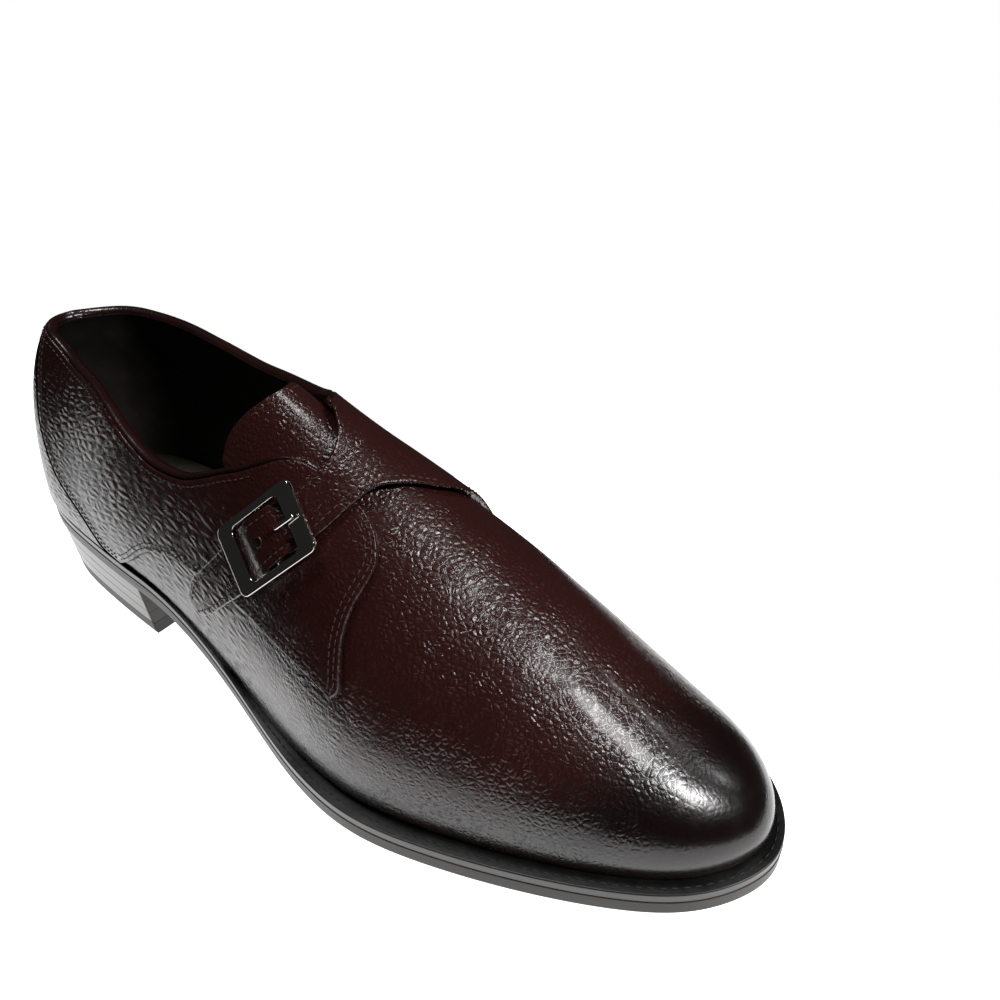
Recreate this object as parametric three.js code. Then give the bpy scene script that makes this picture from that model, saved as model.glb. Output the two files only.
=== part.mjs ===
// A right monk strap shoe: a leather upper on a welted leather sole with a stacked heel.
// Millimetres. X runs from the heel to the toe, Y to the medial side and Z up. The ground is Z = 0, and the origin
// is under the middle of the heel.
import * as THREE from "three";

// Driving sizes
const SHOE_LENGTH = 300;
const BALL_WIDTH = 100;
const CONE_HEIGHT = 95; // ridge of the last above the feather edge, at the front of the ankle
const HEEL_HEIGHT = 21.5; // ground to the underside of the outsole, at the heel breast
const HEEL_PITCH = 2; // how much higher the seat is at the back of the heel
const TOE_SPRING = 6;
const OUTSOLE_THICK = 4.8;
const WELT_THICK = 2.75;
const TOP_LIFT_THICK = 5;
const LIFT_COUNT = 3;
const INSOLE_THICK = 3;
const UPPER_WALL = 2;
const OVERLAY_THICK = 1.3;
const STRAP_THICK = 1.5;
const TONGUE_THICK = 1.6;
const BUCKLE_LONG = 31; // along the strap
const BUCKLE_WIDE = 21.4; // across it
const BUCKLE_THICK = 1.8;
const END_BAR = 5.6; // width of the two bars that cross the strap
const SIDE_BAR = 2.4; // width of the two bars beside it
const BUCKLE_CORNER = 2.4; // outer radius
const BUCKLE_BEVEL = 0.5;
const PIN_THICK = 1.3; // buckle prong and the centre bar that carries it
const HOLE_LONG = 4.2; // hole that the prong comes through, along the strap
const GAP = 0.3; // between pieces that rest on each other
const SURFACE_GAP = 0.35; // between the pieces at the buckle
const PANEL_GAP = 0.75; // between a panel and the upper under it
const WELT_FLANGE = 9; // how far the welt reaches in under the upper
const HEEL_TAPER = 1.6; // how far the top lift stands in from the outsole's edge
const HEEL_INSET = 0.4; // how far the topmost lift stands in

// Places along the shoe, as shares of its length
const HEEL_MIDDLE = 0.13;
const HEEL_BREAST = 0.263;
const BALL_REAR = 0.573;
const BALL_FRONT = 0.667;
const TOE_POLE = 0.88; // front end of the last's ridge
const HEEL_POLE = 0.147; // rear end of it
const POLE_SOFT = 0.03; // half of the length over which the ridge slows to its end

// Outline of the outsole. Columns: share of the length, then shares of the ball width.
const SOLE = [
  { along: 0, lateral: 0.01, medial: 0.01 },
  { along: 0.027, lateral: -0.175, medial: 0.155 },
  { along: 0.073, lateral: -0.235, medial: 0.265 },
  { along: 0.15, lateral: -0.27, medial: 0.315 },
  { along: 0.25, lateral: -0.295, medial: 0.31 },
  { along: 0.35, lateral: -0.315, medial: 0.28 },
  { along: 0.45, lateral: -0.363, medial: 0.3 },
  { along: 0.55, lateral: -0.435, medial: 0.395 },
  { along: 0.64, lateral: -0.473, medial: 0.495 },
  { along: 0.727, lateral: -0.435, medial: 0.53 },
  { along: 0.81, lateral: -0.363, medial: 0.49 },
  { along: 0.893, lateral: -0.268, medial: 0.415 },
  { along: 0.953, lateral: -0.165, medial: 0.32 },
  { along: 0.988, lateral: -0.045, medial: 0.2 },
  { along: 1, lateral: 0.07, medial: 0.07 },
];

// How far the upper stands in from the outsole's edge, in millimetres.
const WELT_WIDTH = [
  { along: 0, lateral: 1.5, medial: 1.5 },
  { along: 0.25, lateral: 1.2, medial: 1.2 },
  { along: 0.4, lateral: 1.5, medial: 2 },
  { along: 0.6, lateral: 4.6, medial: 4 },
  { along: 0.83, lateral: 4.6, medial: 4.4 },
  { along: 1, lateral: 4.3, medial: 4.3 },
];

// Ridge of the last. Side is a share of the ball width, rise a share of the cone height above the feather edge.
const RIDGE = [
  { along: 0.133, side: 0.08, rise: 0.858 },
  { along: 0.2, side: 0.07, rise: 0.895 },
  { along: 0.3, side: 0.05, rise: 0.934 },
  { along: 0.4, side: 0.03, rise: 0.991 },
  { along: 0.483, side: 0.015, rise: 0.997 },
  { along: 0.567, side: 0.015, rise: 0.933 },
  { along: 0.65, side: 0.03, rise: 0.786 },
  { along: 0.733, side: 0.04, rise: 0.62 },
  { along: 0.817, side: 0.05, rise: 0.457 },
  { along: 0.873, side: 0.058, rise: 0.338 },
  { along: 0.907, side: 0.063, rise: 0.27 },
];

// Form of the sections, for the lateral and the medial side. Lean is how far the wall leans out above the feather
// edge, a share of the ball width. Rise is a share of the section's height, and crown of its half width.
const FORM = [
  { along: 0, leanL: -0.005, leanM: -0.005, riseL: 0.66, riseM: 0.66, crownL: 0.64, crownM: 0.64 },
  { along: 0.083, leanL: -0.025, leanM: 0.04, riseL: 0.46, riseM: 0.7, crownL: 0.34, crownM: 0.76 },
  { along: 0.25, leanL: 0, leanM: 0.05, riseL: 0.51, riseM: 0.7, crownL: 0.37, crownM: 0.78 },
  { along: 0.4, leanL: 0.018, leanM: 0.028, riseL: 0.51, riseM: 0.7, crownL: 0.4, crownM: 0.68 },
  { along: 0.55, leanL: 0.032, leanM: 0.01, riseL: 0.5, riseM: 0.5, crownL: 0.45, crownM: 0.5 },
  { along: 0.667, leanL: 0.054, leanM: 0.041, riseL: 0.49, riseM: 0.46, crownL: 0.49, crownM: 0.47 },
  { along: 0.783, leanL: 0.05, leanM: 0.045, riseL: 0.55, riseM: 0.42, crownL: 0.54, crownM: 0.43 },
  { along: 0.9, leanL: 0.044, leanM: 0.043, riseL: 0.6, riseM: 0.47, crownL: 0.55, crownM: 0.48 },
  { along: 1, leanL: 0.04, leanM: 0.04, riseL: 0.58, riseM: 0.58, crownL: 0.54, crownM: 0.54 },
];

// Pattern lines on the last. Station runs from 0 at the heel to 1 at the toe, and girth from -1 at the lateral
// feather edge over 0 at the ridge to 1 at the medial feather edge. A station below 0 or above 1 is past the tip, on the other side.
const SEAT = 0.985; // girth just above the feather edge
const COLLAR_LATERAL = [
  [0, -0.355], [0.035, -0.352], [0.066, -0.348], [0.1, -0.358], [0.158, -0.372], [0.267, -0.432], [0.323, -0.5], [0.356, -0.555],
  [0.386, -0.586], [0.409, -0.58], [0.432, -0.55], [0.451, -0.5], [0.468, -0.443], [0.484, -0.386],
  [0.498, -0.322], [0.51, -0.262], [0.524, -0.215],
];
const COLLAR_MEDIAL = [
  [0, 0.355], [0.035, 0.355], [0.07, 0.359], [0.185, 0.393], [0.25, 0.429], [0.293, 0.464], [0.333, 0.5],
  [0.369, 0.521], [0.402, 0.514], [0.432, 0.471], [0.458, 0.407], [0.478, 0.329], [0.494, 0.22], [0.505, 0.14],
];
const THROAT_LATERAL = [[0.545, -0.19], [0.566, -0.12], [0.575, 0]];
const THROAT_MEDIAL = [[0.532, 0.13], [0.56, 0.1], [0.575, 0]];
const COUNTER_SEAM = [
  [0.33, -SEAT], [0.303, -0.975], [0.283, -0.94], [0.264, -0.905], [0.231, -0.865], [0.204, -0.835],
  [0.175, -0.775], [0.15, -0.7], [0.133, -0.6], [0.112, -0.5], [0.089, -0.415], [0.077, -0.364],
];
const QUARTER_SEAM = [
  [0.33, -SEAT], [0.349, -0.95], [0.366, -0.905], [0.384, -0.86], [0.402, -0.827], [0.425, -0.79],
  [0.448, -0.768], [0.488, -0.72], [0.517, -0.7], [0.557, -0.684], [0.584, -0.686],
];
const FACING_LATERAL = [
  [0.584, -0.686], [0.589, -0.65], [0.587, -0.6], [0.584, -0.529], [0.584, -0.45], [0.587, -0.36],
  [0.587, -0.293], [0.579, -0.236], [0.567, -0.205],
];
const FACING_MEDIAL = [
  [0.584, 0.686], [0.589, 0.65], [0.588, 0.6], [0.586, 0.529], [0.586, 0.45], [0.588, 0.37], [0.589, 0.3],
];
const STRAP_BASE = [[0.505, 0.14], [0.54, 0.2], [0.57, 0.26], [0.589, 0.3]];
const STRAP_REAR = [
  [0.505, 0.14], [0.511, 0.064], [0.523, -0.01], [0.532, -0.07], [0.537, -0.143], [0.536, -0.2], [0.53, -0.264],
  [0.522, -0.35], [0.508, -0.44], [0.493, -0.527], [0.481, -0.607], [0.463, -0.7], [0.45, -0.76], [0.444, -0.807],
  [0.442, -0.835],
];
const STRAP_FRONT = [
  [0.589, 0.3], [0.59, 0.19], [0.586, 0.07], [0.575, -0.05], [0.567, -0.129], [0.562, -0.214], [0.557, -0.293],
  [0.55, -0.37], [0.537, -0.46], [0.523, -0.55], [0.504, -0.65], [0.487, -0.725], [0.473, -0.785],
  [0.462, -0.825], [0.454, -0.848],
];
const TONGUE_REAR = [
  [0.456, -0.46], [0.457, -0.38], [0.465, -0.28], [0.475, -0.17], [0.481, -0.05], [0.48, 0.06], [0.476, 0.16],
  [0.479, 0.24], [0.492, 0.29],
];
const TONGUE_FRONT = [[0.6, -0.2], [0.605, -0.1], [0.607, 0], [0.606, 0.1], [0.602, 0.2]];
const TONGUE_LATERAL = [[0.456, -0.46], [0.475, -0.47], [0.51, -0.42], [0.55, -0.32], [0.6, -0.2]];
const TONGUE_MEDIAL = [[0.492, 0.29], [0.51, 0.31], [0.55, 0.28], [0.602, 0.2]];
// Middle of the buckle frame, and of its front and rear bars.
const BUCKLE_MIDDLE = [0.521, -0.463];
const BUCKLE_FRONT = [0.541, -0.32];
const BUCKLE_REAR = [0.498, -0.588];

const STATION_SPAN = 3.4; // a station's length on the last, in units of girth

// A natural cubic spline through the points (x, y).
function spline(xs, ys) {
  const n = xs.length;
  const step = xs.slice(1).map((x, i) => x - xs[i]);
  const slope = step.map((h, i) => (ys[i + 1] - ys[i]) / h);
  const bend = new Array(n).fill(0);
  const share = new Array(n).fill(0);
  for (let i = 1; i < n - 1; i++) {
    const pivot = 2 * (step[i - 1] + step[i]) - step[i - 1] * share[i - 1];
    share[i] = step[i] / pivot;
    bend[i] = (6 * (slope[i] - slope[i - 1]) - step[i - 1] * bend[i - 1]) / pivot;
  }
  for (let i = n - 2; i > 0; i--) bend[i] -= share[i] * bend[i + 1];
  return (x) => {
    let i = 0;
    while (i < n - 2 && x > xs[i + 1]) i++;
    const h = step[i];
    const t = x - xs[i];
    const u = xs[i + 1] - x;
    const cubic = (bend[i] * u ** 3 + bend[i + 1] * t ** 3) / (6 * h);
    return cubic + (ys[i] / h - (bend[i] * h) / 6) * u + (ys[i + 1] / h - (bend[i + 1] * h) / 6) * t;
  };
}

const column = (table, name) => spline(table.map((row) => row.along), table.map((row) => row[name]));
const stationOf = (along) => Math.acos(1 - 2 * along) / Math.PI;
const alongOf = (station) => (1 - Math.cos(Math.PI * station)) / 2;

const soleStations = SOLE.map((row) => stationOf(row.along));
const soleLateral = spline(soleStations, SOLE.map((row) => row.lateral));
const soleMedial = spline(soleStations, SOLE.map((row) => row.medial));
const weltLateral = column(WELT_WIDTH, "lateral");
const weltMedial = column(WELT_WIDTH, "medial");
const ridgeSide = column(RIDGE, "side");
const ridgeRise = column(RIDGE, "rise");
const form = {
  lean: [column(FORM, "leanL"), column(FORM, "leanM")],
  rise: [column(FORM, "riseL"), column(FORM, "riseM")],
  crown: [column(FORM, "crownL"), column(FORM, "crownM")],
};

// Height of the outsole's underside: the heel seat, the waist, the flat tread and the toe spring.
function treadHeight(x) {
  const breast = HEEL_BREAST * SHOE_LENGTH;
  const rear = BALL_REAR * SHOE_LENGTH;
  const front = BALL_FRONT * SHOE_LENGTH;
  if (x < breast) return HEEL_HEIGHT + (HEEL_PITCH * (breast - x)) / breast;
  if (x < rear) {
    const u = (x - breast) / (rear - breast);
    return HEEL_HEIGHT * (1 - u) ** 2 * (1 + 2 * u);
  }
  if (x < front) return 0;
  return TOE_SPRING * ((x - front) / (SHOE_LENGTH - front)) ** 1.7;
}

const SOLE_EDGE = OUTSOLE_THICK + GAP + WELT_THICK + GAP;
const seatHeight = (x) => treadHeight(x) + SOLE_EDGE;

// A point of the sole's outline moved in by a distance. Medial is 0 for the lateral side and 1 for the medial side.
function outlinePoint(station, medial, inset) {
  const share = medial ? soleMedial : soleLateral;
  const at = (s) => {
    const c = Math.min(1, Math.max(0, s));
    return new THREE.Vector2(alongOf(c) * SHOE_LENGTH, share(c) * BALL_WIDTH);
  };
  const here = at(station);
  const step = 1e-4;
  const along = at(station + step).sub(at(station - step)).normalize();
  // The two tips point straight back and straight forward, so that both sides meet there.
  if (station <= 0) along.set(0, medial ? 1 : -1);
  if (station >= 1) along.set(0, medial ? -1 : 1);
  const out = medial ? new THREE.Vector2(-along.y, along.x) : new THREE.Vector2(along.y, -along.x);
  return { point: here.addScaledVector(out, -inset), out };
}

function feather(station, medial) {
  const along = alongOf(station);
  const inset = medial ? weltMedial(along) : weltLateral(along);
  const { point, out } = outlinePoint(station, medial, inset);
  return { point: new THREE.Vector3(point.x, point.y, seatHeight(point.x)), out };
}

// The ridge follows the stations, and slows to a stop at a pole near each end.
function ridgeAlong(along) {
  const ease = (d) => {
    if (d <= -POLE_SOFT) return 0;
    return d >= POLE_SOFT ? d : (d + POLE_SOFT) ** 2 / (4 * POLE_SOFT);
  };
  return along - ease(along - TOE_POLE) + ease(HEEL_POLE - along);
}

function ridge(station) {
  const along = ridgeAlong(alongOf(station));
  const x = along * SHOE_LENGTH;
  const height = (s) => seatHeight(s * SHOE_LENGTH) + ridgeRise(s) * CONE_HEIGHT;
  const step = 0.002;
  const fall = (height(along + step) - height(along - step)) / (2 * step * SHOE_LENGTH);
  return { point: new THREE.Vector3(x, ridgeSide(along) * BALL_WIDTH, height(along)), fall };
}

// The last: a section is a cubic curve from the feather edge up to the ridge.
function lastPoint(stationIn, girthIn) {
  const turned = stationIn < 0 || stationIn > 1;
  const station = stationIn > 1 ? 2 - stationIn : Math.abs(stationIn);
  const girth = turned ? -girthIn : girthIn;
  const medial = girth > 0 ? 1 : 0;
  const t = 1 - Math.abs(girth);
  const along = alongOf(station);
  const low = feather(station, medial);
  const top = ridge(station);
  const height = top.point.z - low.point.z;
  const reach = new THREE.Vector2(low.point.x - top.point.x, low.point.y - top.point.y);
  const lean = form.lean[medial](along) * BALL_WIDTH;
  const crown = form.crown[medial](along);
  const wall = low.point.clone();
  wall.x += low.out.x * lean;
  wall.y += low.out.y * lean;
  wall.z += form.rise[medial](along) * height;
  const brow = top.point.clone();
  brow.x += reach.x * crown;
  brow.y += reach.y * crown;
  brow.z += top.fall * reach.x * crown;
  return new THREE.CubicBezierCurve3(low.point, wall, brow, top.point).getPoint(t);
}

// Outward normal of the last. It is taken across the ridge and the tips, so that both sides share one normal there.
function lastNormal(station, girth) {
  const ds = 0.004;
  const dg = 0.01;
  const g0 = Math.max(girth - dg, -1);
  const g1 = Math.min(girth + dg, 1);
  const along = lastPoint(station + ds, girth).sub(lastPoint(station - ds, girth));
  const across = lastPoint(station, g1).sub(lastPoint(station, g0));
  const normal = along.cross(across).normalize();
  const middle = new THREE.Vector3(SHOE_LENGTH * ridgeAlong(alongOf(Math.abs(station))), 0.02 * BALL_WIDTH, 0);
  middle.z = seatHeight(middle.x) + 0.2 * CONE_HEIGHT;
  if (normal.dot(lastPoint(station, girth).sub(middle)) < 0) normal.negate();
  return normal;
}

function onLast(station, girth, lift) {
  return lastPoint(station, girth).addScaledVector(lastNormal(station, girth), lift);
}

// Joins loose polygons into one geometry with shared vertices, without the faces that close up to nothing.
function weld(polygons) {
  const index = new Map();
  const positions = [];
  const triangles = [];
  const vertex = (p) => {
    const key = [p.x, p.y, p.z].map((v) => Math.round(v * 1000)).join();
    if (!index.has(key)) {
      index.set(key, index.size);
      positions.push(p.x, p.y, p.z);
    }
    return index.get(key);
  };
  for (const polygon of polygons) {
    const ids = polygon.map(vertex);
    for (let i = 1; i < ids.length - 1; i++) {
      const [a, b, c] = [ids[0], ids[i], ids[i + 1]];
      if (a !== b && b !== c && a !== c) triangles.push(a, b, c);
    }
  }
  const geometry = new THREE.BufferGeometry();
  geometry.setAttribute("position", new THREE.Float32BufferAttribute(positions, 3));
  geometry.setIndex(triangles);
  return facingOut(geometry);
}

// Turns all faces round if the body would be inside out.
function facingOut(geometry) {
  const p = geometry.attributes.position;
  const ids = geometry.index.array;
  const corner = [0, 1, 2].map(() => new THREE.Vector3());
  let volume = 0;
  for (let i = 0; i < ids.length; i += 3) {
    corner.forEach((v, k) => v.fromBufferAttribute(p, ids[i + k]));
    volume += corner[0].dot(corner[1].clone().cross(corner[2]));
  }
  if (volume < 0) {
    for (let i = 0; i < ids.length; i += 3) {
      const second = ids[i + 1];
      ids[i + 1] = ids[i + 2];
      ids[i + 2] = second;
    }
  }
  geometry.computeVertexNormals();
  return geometry;
}

// A wall from cells. Each cell is a quad of nodes, and a node holds an outer and an inner point under one key.
function wallBody(cells) {
  const polygons = [];
  const edges = new Map();
  for (const cell of cells) {
    polygons.push(cell.map((node) => node.outer));
    polygons.push(cell.map((node) => node.inner).reverse());
    cell.forEach((node, i) => {
      const next = cell[(i + 1) % cell.length];
      if (node.key === next.key) return;
      const name = [node.key, next.key].sort().join("|");
      if (edges.has(name)) edges.delete(name);
      else edges.set(name, [node, next]);
    });
  }
  for (const [a, b] of edges.values()) polygons.push([a.outer, a.inner, b.inner, b.outer]);
  return weld(polygons);
}

const node = (outer, inner) => ({
  outer,
  inner,
  key: [outer.x, outer.y, outer.z].map((v) => Math.round(v * 1000)).join(),
});

const grid = (rows) =>
  rows.slice(1).flatMap((row, i) => row.slice(1).map((far, j) => [rows[i][j], row[j], far, rows[i][j + 1]]));

// A smooth line through chart points, read by its share of length.
function chartLine(points) {
  const line = new THREE.SplineCurve(points.map(([s, g]) => new THREE.Vector2(s * STATION_SPAN, g)));
  return (share) => {
    const p = line.getPointAt(share);
    return [p.x / STATION_SPAN, p.y];
  };
}

// Lines that follow each other, with the share at which each ends.
function chainLine(parts, ends) {
  const lines = parts.map(chartLine);
  return (share) => {
    const k = ends.findIndex((end) => share <= end + 1e-9);
    const start = k ? ends[k - 1] : 0;
    return lines[k]((share - start) / (ends[k] - start));
  };
}

// Chart points over a field with four edges. Low and high run along it, and left and right run up from low to high.
function field(low, high, left, right, columns, rows) {
  const [a, b, c, d] = [low(0), low(1), high(0), high(1)];
  return columns.map((u) =>
    rows.map((v) =>
      [0, 1].map((k) => {
        const along = (1 - v) * low(u)[k] + v * high(u)[k];
        const across = (1 - u) * left(v)[k] + u * right(v)[k];
        const corners = (1 - v) * ((1 - u) * a[k] + u * b[k]) + v * ((1 - u) * c[k] + u * d[k]);
        return along + across - corners;
      }),
    ),
  );
}

const shares = (count) => Array.from({ length: count + 1 }, (_, i) => i / count);

// A panel that lies on the last between two lifts, from chart points. Lift is a number or a rule for each point.
function panelCells(points, lift, thick) {
  return grid(
    points.map((line, i) =>
      line.map(([s, g], j) => {
        const base = typeof lift === "function" ? lift(i, j) : lift;
        return node(onLast(s, g, base + thick), onLast(s, g, base));
      }),
    ),
  );
}

const sides = (line, sign) => line.map(([s, g]) => [s, sign * g]);
const backwards = (line) => [...line].reverse();

// The upper: one wall from the feather edge to the collar, and over the ridge in front of the throat.
function upperBody() {
  const rows = shares(10);
  const columnNodes = ([station, girth]) => {
    const side = girth === 0 ? -1 : Math.sign(girth);
    const reach = 1 - Math.abs(girth);
    return rows.map((v) => {
      const g = side * (1 - v * reach);
      const outer = lastPoint(station, g);
      const inward = lastNormal(station, g);
      if (v === 0) inward.setZ(0).normalize();
      return node(outer, outer.clone().addScaledVector(inward, -UPPER_WALL));
    });
  };
  const collar = (points, throat) => {
    const round = chartLine([...points, ...throat.slice(0, -1)]);
    const open = shares(30).map(round);
    return [...open, throat[throat.length - 1]];
  };
  const throatStation = THROAT_LATERAL[THROAT_LATERAL.length - 1][0];
  const front = shares(22).slice(1).map((u) => throatStation + u * (1 - throatStation));
  const lateral = [...collar(COLLAR_LATERAL, THROAT_LATERAL), ...front.map((s) => [s, -0])];
  const medialFront = front.map((s) => [s, 0]);
  const medial = [...collar(COLLAR_MEDIAL, THROAT_MEDIAL), ...medialFront];
  const lateralNodes = lateral.map(columnNodes);
  const medialNodes = medial.map(([station, girth]) => {
    const reach = 1 - Math.abs(girth);
    return rows.map((v) => {
      const g = 1 - v * reach;
      const outer = lastPoint(station, g);
      const inward = lastNormal(station, g);
      if (v === 0) inward.setZ(0).normalize();
      return node(outer, outer.clone().addScaledVector(inward, -UPPER_WALL));
    });
  });
  // The two tips and the ridge are shared by both sides.
  medialNodes[0] = lateralNodes[0];
  medialNodes[medialNodes.length - 1] = lateralNodes[lateralNodes.length - 1];
  for (let i = 1; i <= front.length; i++) {
    const last = lateralNodes.length - i;
    medialNodes[medialNodes.length - i][rows.length - 1] = lateralNodes[last][rows.length - 1];
  }
  medialNodes[medialNodes.length - 1 - front.length][rows.length - 1] =
    lateralNodes[lateralNodes.length - 1 - front.length][rows.length - 1];
  return wallBody([...grid(lateralNodes), ...grid(medialNodes.reverse())]);
}

const TOPLINE_DROP = 0.012; // how far in girth the overlays end below the collar
const SEAM_GAP = 0.0022; // in stations, between panels that meet at a seam

const droppedCollar = (line, sign) => line.map(([s, g]) => [s, g + sign * TOPLINE_DROP]);

function quarterLateral() {
  const collar = COLLAR_LATERAL.slice(4);
  const seam = backwards(COUNTER_SEAM);
  const top = [seam[0], ...droppedCollar(collar, -1), [0.545, -0.205], FACING_LATERAL[FACING_LATERAL.length - 1]];
  const points = field(
    chartLine(QUARTER_SEAM),
    chartLine(top),
    chartLine(COUNTER_SEAM),
    chartLine(FACING_LATERAL),
    shares(28),
    shares(9),
  );
  return wallBody(panelCells(points, PANEL_GAP, OVERLAY_THICK));
}

const PILE = PANEL_GAP + OVERLAY_THICK + SURFACE_GAP; // underside of what lies on a quarter
const STRAP_TOP = PILE + STRAP_THICK;
const ARCH = PIN_THICK + SURFACE_GAP; // how far the strap rises to pass over the centre bar
const BUCKLE_LIFT = STRAP_TOP + BUCKLE_THICK / 2; // middle of the flat frame, where the last under it is highest

// Lengths at the buckle: along the strap from the middle to the rear bar, across it, and out from the last.
const buckle = (() => {
  const [s, g] = BUCKLE_MIDDLE;
  const out = lastNormal(s, g);
  const along = onLast(...BUCKLE_REAR, 0).sub(onLast(...BUCKLE_FRONT, 0));
  along.addScaledVector(out, -along.dot(out)).normalize();
  const across = out.clone().cross(along).normalize();
  return { middle: onLast(s, g, BUCKLE_LIFT), along, across, out };
})();

function atBuckle(along, across, out) {
  return buckle.middle
    .clone()
    .addScaledVector(buckle.along, along)
    .addScaledVector(buckle.across, across)
    .addScaledVector(buckle.out, out);
}

const alongBuckle = (point) => point.clone().sub(buckle.middle).dot(buckle.along);
const smooth = (t) => {
  const u = Math.min(1, Math.max(0, t));
  return u * u * (3 - 2 * u);
};

// Lift of the strap's underside: low at its base, on the lateral quarter after the ridge, and over the centre bar.
function strapLift([s, g]) {
  const onQuarter = smooth((0.1 - g) / 0.28);
  const reach = BUCKLE_LONG / 2 - END_BAR;
  const arch = smooth((0.92 * reach - Math.abs(alongBuckle(lastPoint(s, g)))) / (0.6 * reach));
  return PANEL_GAP + (PILE - PANEL_GAP) * onQuarter + ARCH * arch;
}

const HOLE_FROM = -BUCKLE_LONG / 2 + END_BAR + 1.6; // front end of the prong's hole, along the buckle

// The medial quarter runs on as the strap over the instep, through the buckle and to the strap's tip.
function quarterMedialStrap() {
  const seam = sides(backwards(COUNTER_SEAM), -1);
  const collar = droppedCollar(COLLAR_MEDIAL.slice(3, -1), 1);
  const joint = 0.8;
  const strapColumns = 7;
  const base = shares(strapColumns);
  const columns = [...shares(20).map((u) => u * joint), ...base.slice(1).map((u) => joint + u * (1 - joint))];
  const high = chainLine([[seam[0], ...collar, STRAP_BASE[0]], STRAP_BASE], [joint, 1]);
  const quarter = field(
    chartLine(sides(QUARTER_SEAM, -1)),
    high,
    chartLine(sides(COUNTER_SEAM, -1)),
    chartLine(FACING_MEDIAL),
    columns,
    shares(9),
  );
  const rear = chartLine(STRAP_REAR);
  const front = chartLine(STRAP_FRONT);
  const tip = chartLine([STRAP_REAR[STRAP_REAR.length - 1], [0.447, -0.847], STRAP_FRONT[STRAP_FRONT.length - 1]]);
  const strapField = (rows) => field(chartLine(STRAP_BASE), tip, rear, front, base, rows);
  // The rows are set so that the prong's hole is one row long in the middle column.
  const middle = shares(400).map((v) => {
    const [[, ...ends], [, ...others]] = strapField([0, v]).slice(3, 5);
    const [[s, g]] = ends;
    const [[t, h]] = others;
    return alongBuckle(lastPoint((s + t) / 2, (g + h) / 2));
  });
  const shareAt = (along) => middle.findIndex((value, i) => i > 100 && value >= along) / 400;
  const [from, to] = [shareAt(HOLE_FROM), shareAt(HOLE_FROM + HOLE_LONG)];
  const before = 15;
  const rows = [
    ...shares(before).map((v) => v * from),
    ...shares(15).map((v) => to + v * (1 - to)),
  ];
  const strap = strapField(rows);
  const cells = panelCells(strap, (i, j) => (j === 0 ? PANEL_GAP : strapLift(strap[i][j])), STRAP_THICK);
  const hole = (strapColumns >> 1) * (rows.length - 1) + before;
  return wallBody([...panelCells(quarter, PANEL_GAP, STRAP_THICK), ...cells.filter((_, k) => k !== hole)]);
}

function heelCounter() {
  const lateral = COUNTER_SEAM.map(([s, g]) => [s - SEAM_GAP, g]);
  const medial = lateral.map(([s, g]) => [-s, g]);
  const [lowStart, lowEnd] = [lateral[0], medial[0]];
  const [highStart, highEnd] = [lateral[lateral.length - 1], medial[medial.length - 1]];
  const low = (u) => [lowStart[0] + u * (lowEnd[0] - lowStart[0]), -SEAT];
  const high = chartLine([highStart, [0.035, -0.367], [0, -0.369], [-0.035, -0.369], highEnd]);
  const points = field(low, high, chartLine(lateral), chartLine(medial), shares(26), shares(9));
  return wallBody(panelCells(points, PANEL_GAP, OVERLAY_THICK));
}

function tongue() {
  const points = field(
    chartLine(TONGUE_LATERAL),
    chartLine(TONGUE_MEDIAL),
    chartLine(TONGUE_REAR),
    chartLine(TONGUE_FRONT),
    shares(9),
    shares(12),
  );
  return wallBody(panelCells(points, -UPPER_WALL - 1.5 * PANEL_GAP - TONGUE_THICK, TONGUE_THICK));
}

// A flat layer between two heights over the outline, from one station to another.
function layer(from, to, steps, inset, bottom, top) {
  const level = (station, height) =>
    [0, 1].map((medial) => {
      const { point } = outlinePoint(station, medial, inset(station, medial, height));
      return new THREE.Vector3(point.x, point.y, height === 0 ? bottom(point.x) : top(point.x));
    });
  const polygons = [];
  const list = shares(steps).map((u) => from + u * (to - from));
  const rings = list.map((s) => {
    const [lowL, lowM] = level(s, 0);
    const [highL, highM] = level(s, 1);
    if (s === 0 || s === 1) return [lowL, lowL, highL, highL];
    return [lowL, lowM, highM, highL];
  });
  for (let i = 1; i < rings.length; i++) {
    for (let k = 0; k < 4; k++) {
      const n = (k + 1) % 4;
      polygons.push([rings[i - 1][k], rings[i - 1][n], rings[i][n], rings[i][k]]);
    }
  }
  polygons.push([...rings[0]].reverse(), rings[rings.length - 1]);
  return weld(polygons);
}

const flat = (value) => () => value;

function outsole() {
  return layer(0, 1, 60, flat(0), treadHeight, (x) => treadHeight(x) + OUTSOLE_THICK);
}

function insole() {
  const inset = (station, medial) => {
    const along = alongOf(station);
    return (medial ? weltMedial(along) : weltLateral(along)) + UPPER_WALL + 2 * GAP;
  };
  return layer(0, 1, 48, inset, seatHeight, (x) => seatHeight(x) + INSOLE_THICK);
}

// The welt goes round the whole edge and reaches in under the upper.
function welt() {
  const steps = 48;
  const edge = 0.4; // how far the welt stands in from the outsole's edge
  const ring = [
    ...shares(steps).map((s) => [s, 0]),
    ...backwards(shares(steps)).slice(1, -1).map((s) => [s, 1]),
  ];
  const nodes = ring.map(([station, medial]) => {
    const outer = outlinePoint(station, medial, edge).point;
    const inner = outlinePoint(station, medial, WELT_FLANGE).point;
    const low = (p) => new THREE.Vector3(p.x, p.y, treadHeight(p.x) + OUTSOLE_THICK + GAP);
    const high = (p) => new THREE.Vector3(p.x, p.y, treadHeight(p.x) + OUTSOLE_THICK + GAP + WELT_THICK);
    return [low(outer), high(outer), high(inner), low(inner)];
  });
  const polygons = nodes.flatMap((ringNow, i) => {
    const next = nodes[(i + 1) % nodes.length];
    return ringNow.map((p, k) => [p, ringNow[(k + 1) % 4], next[(k + 1) % 4], next[k]]);
  });
  return weld(polygons);
}

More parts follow.
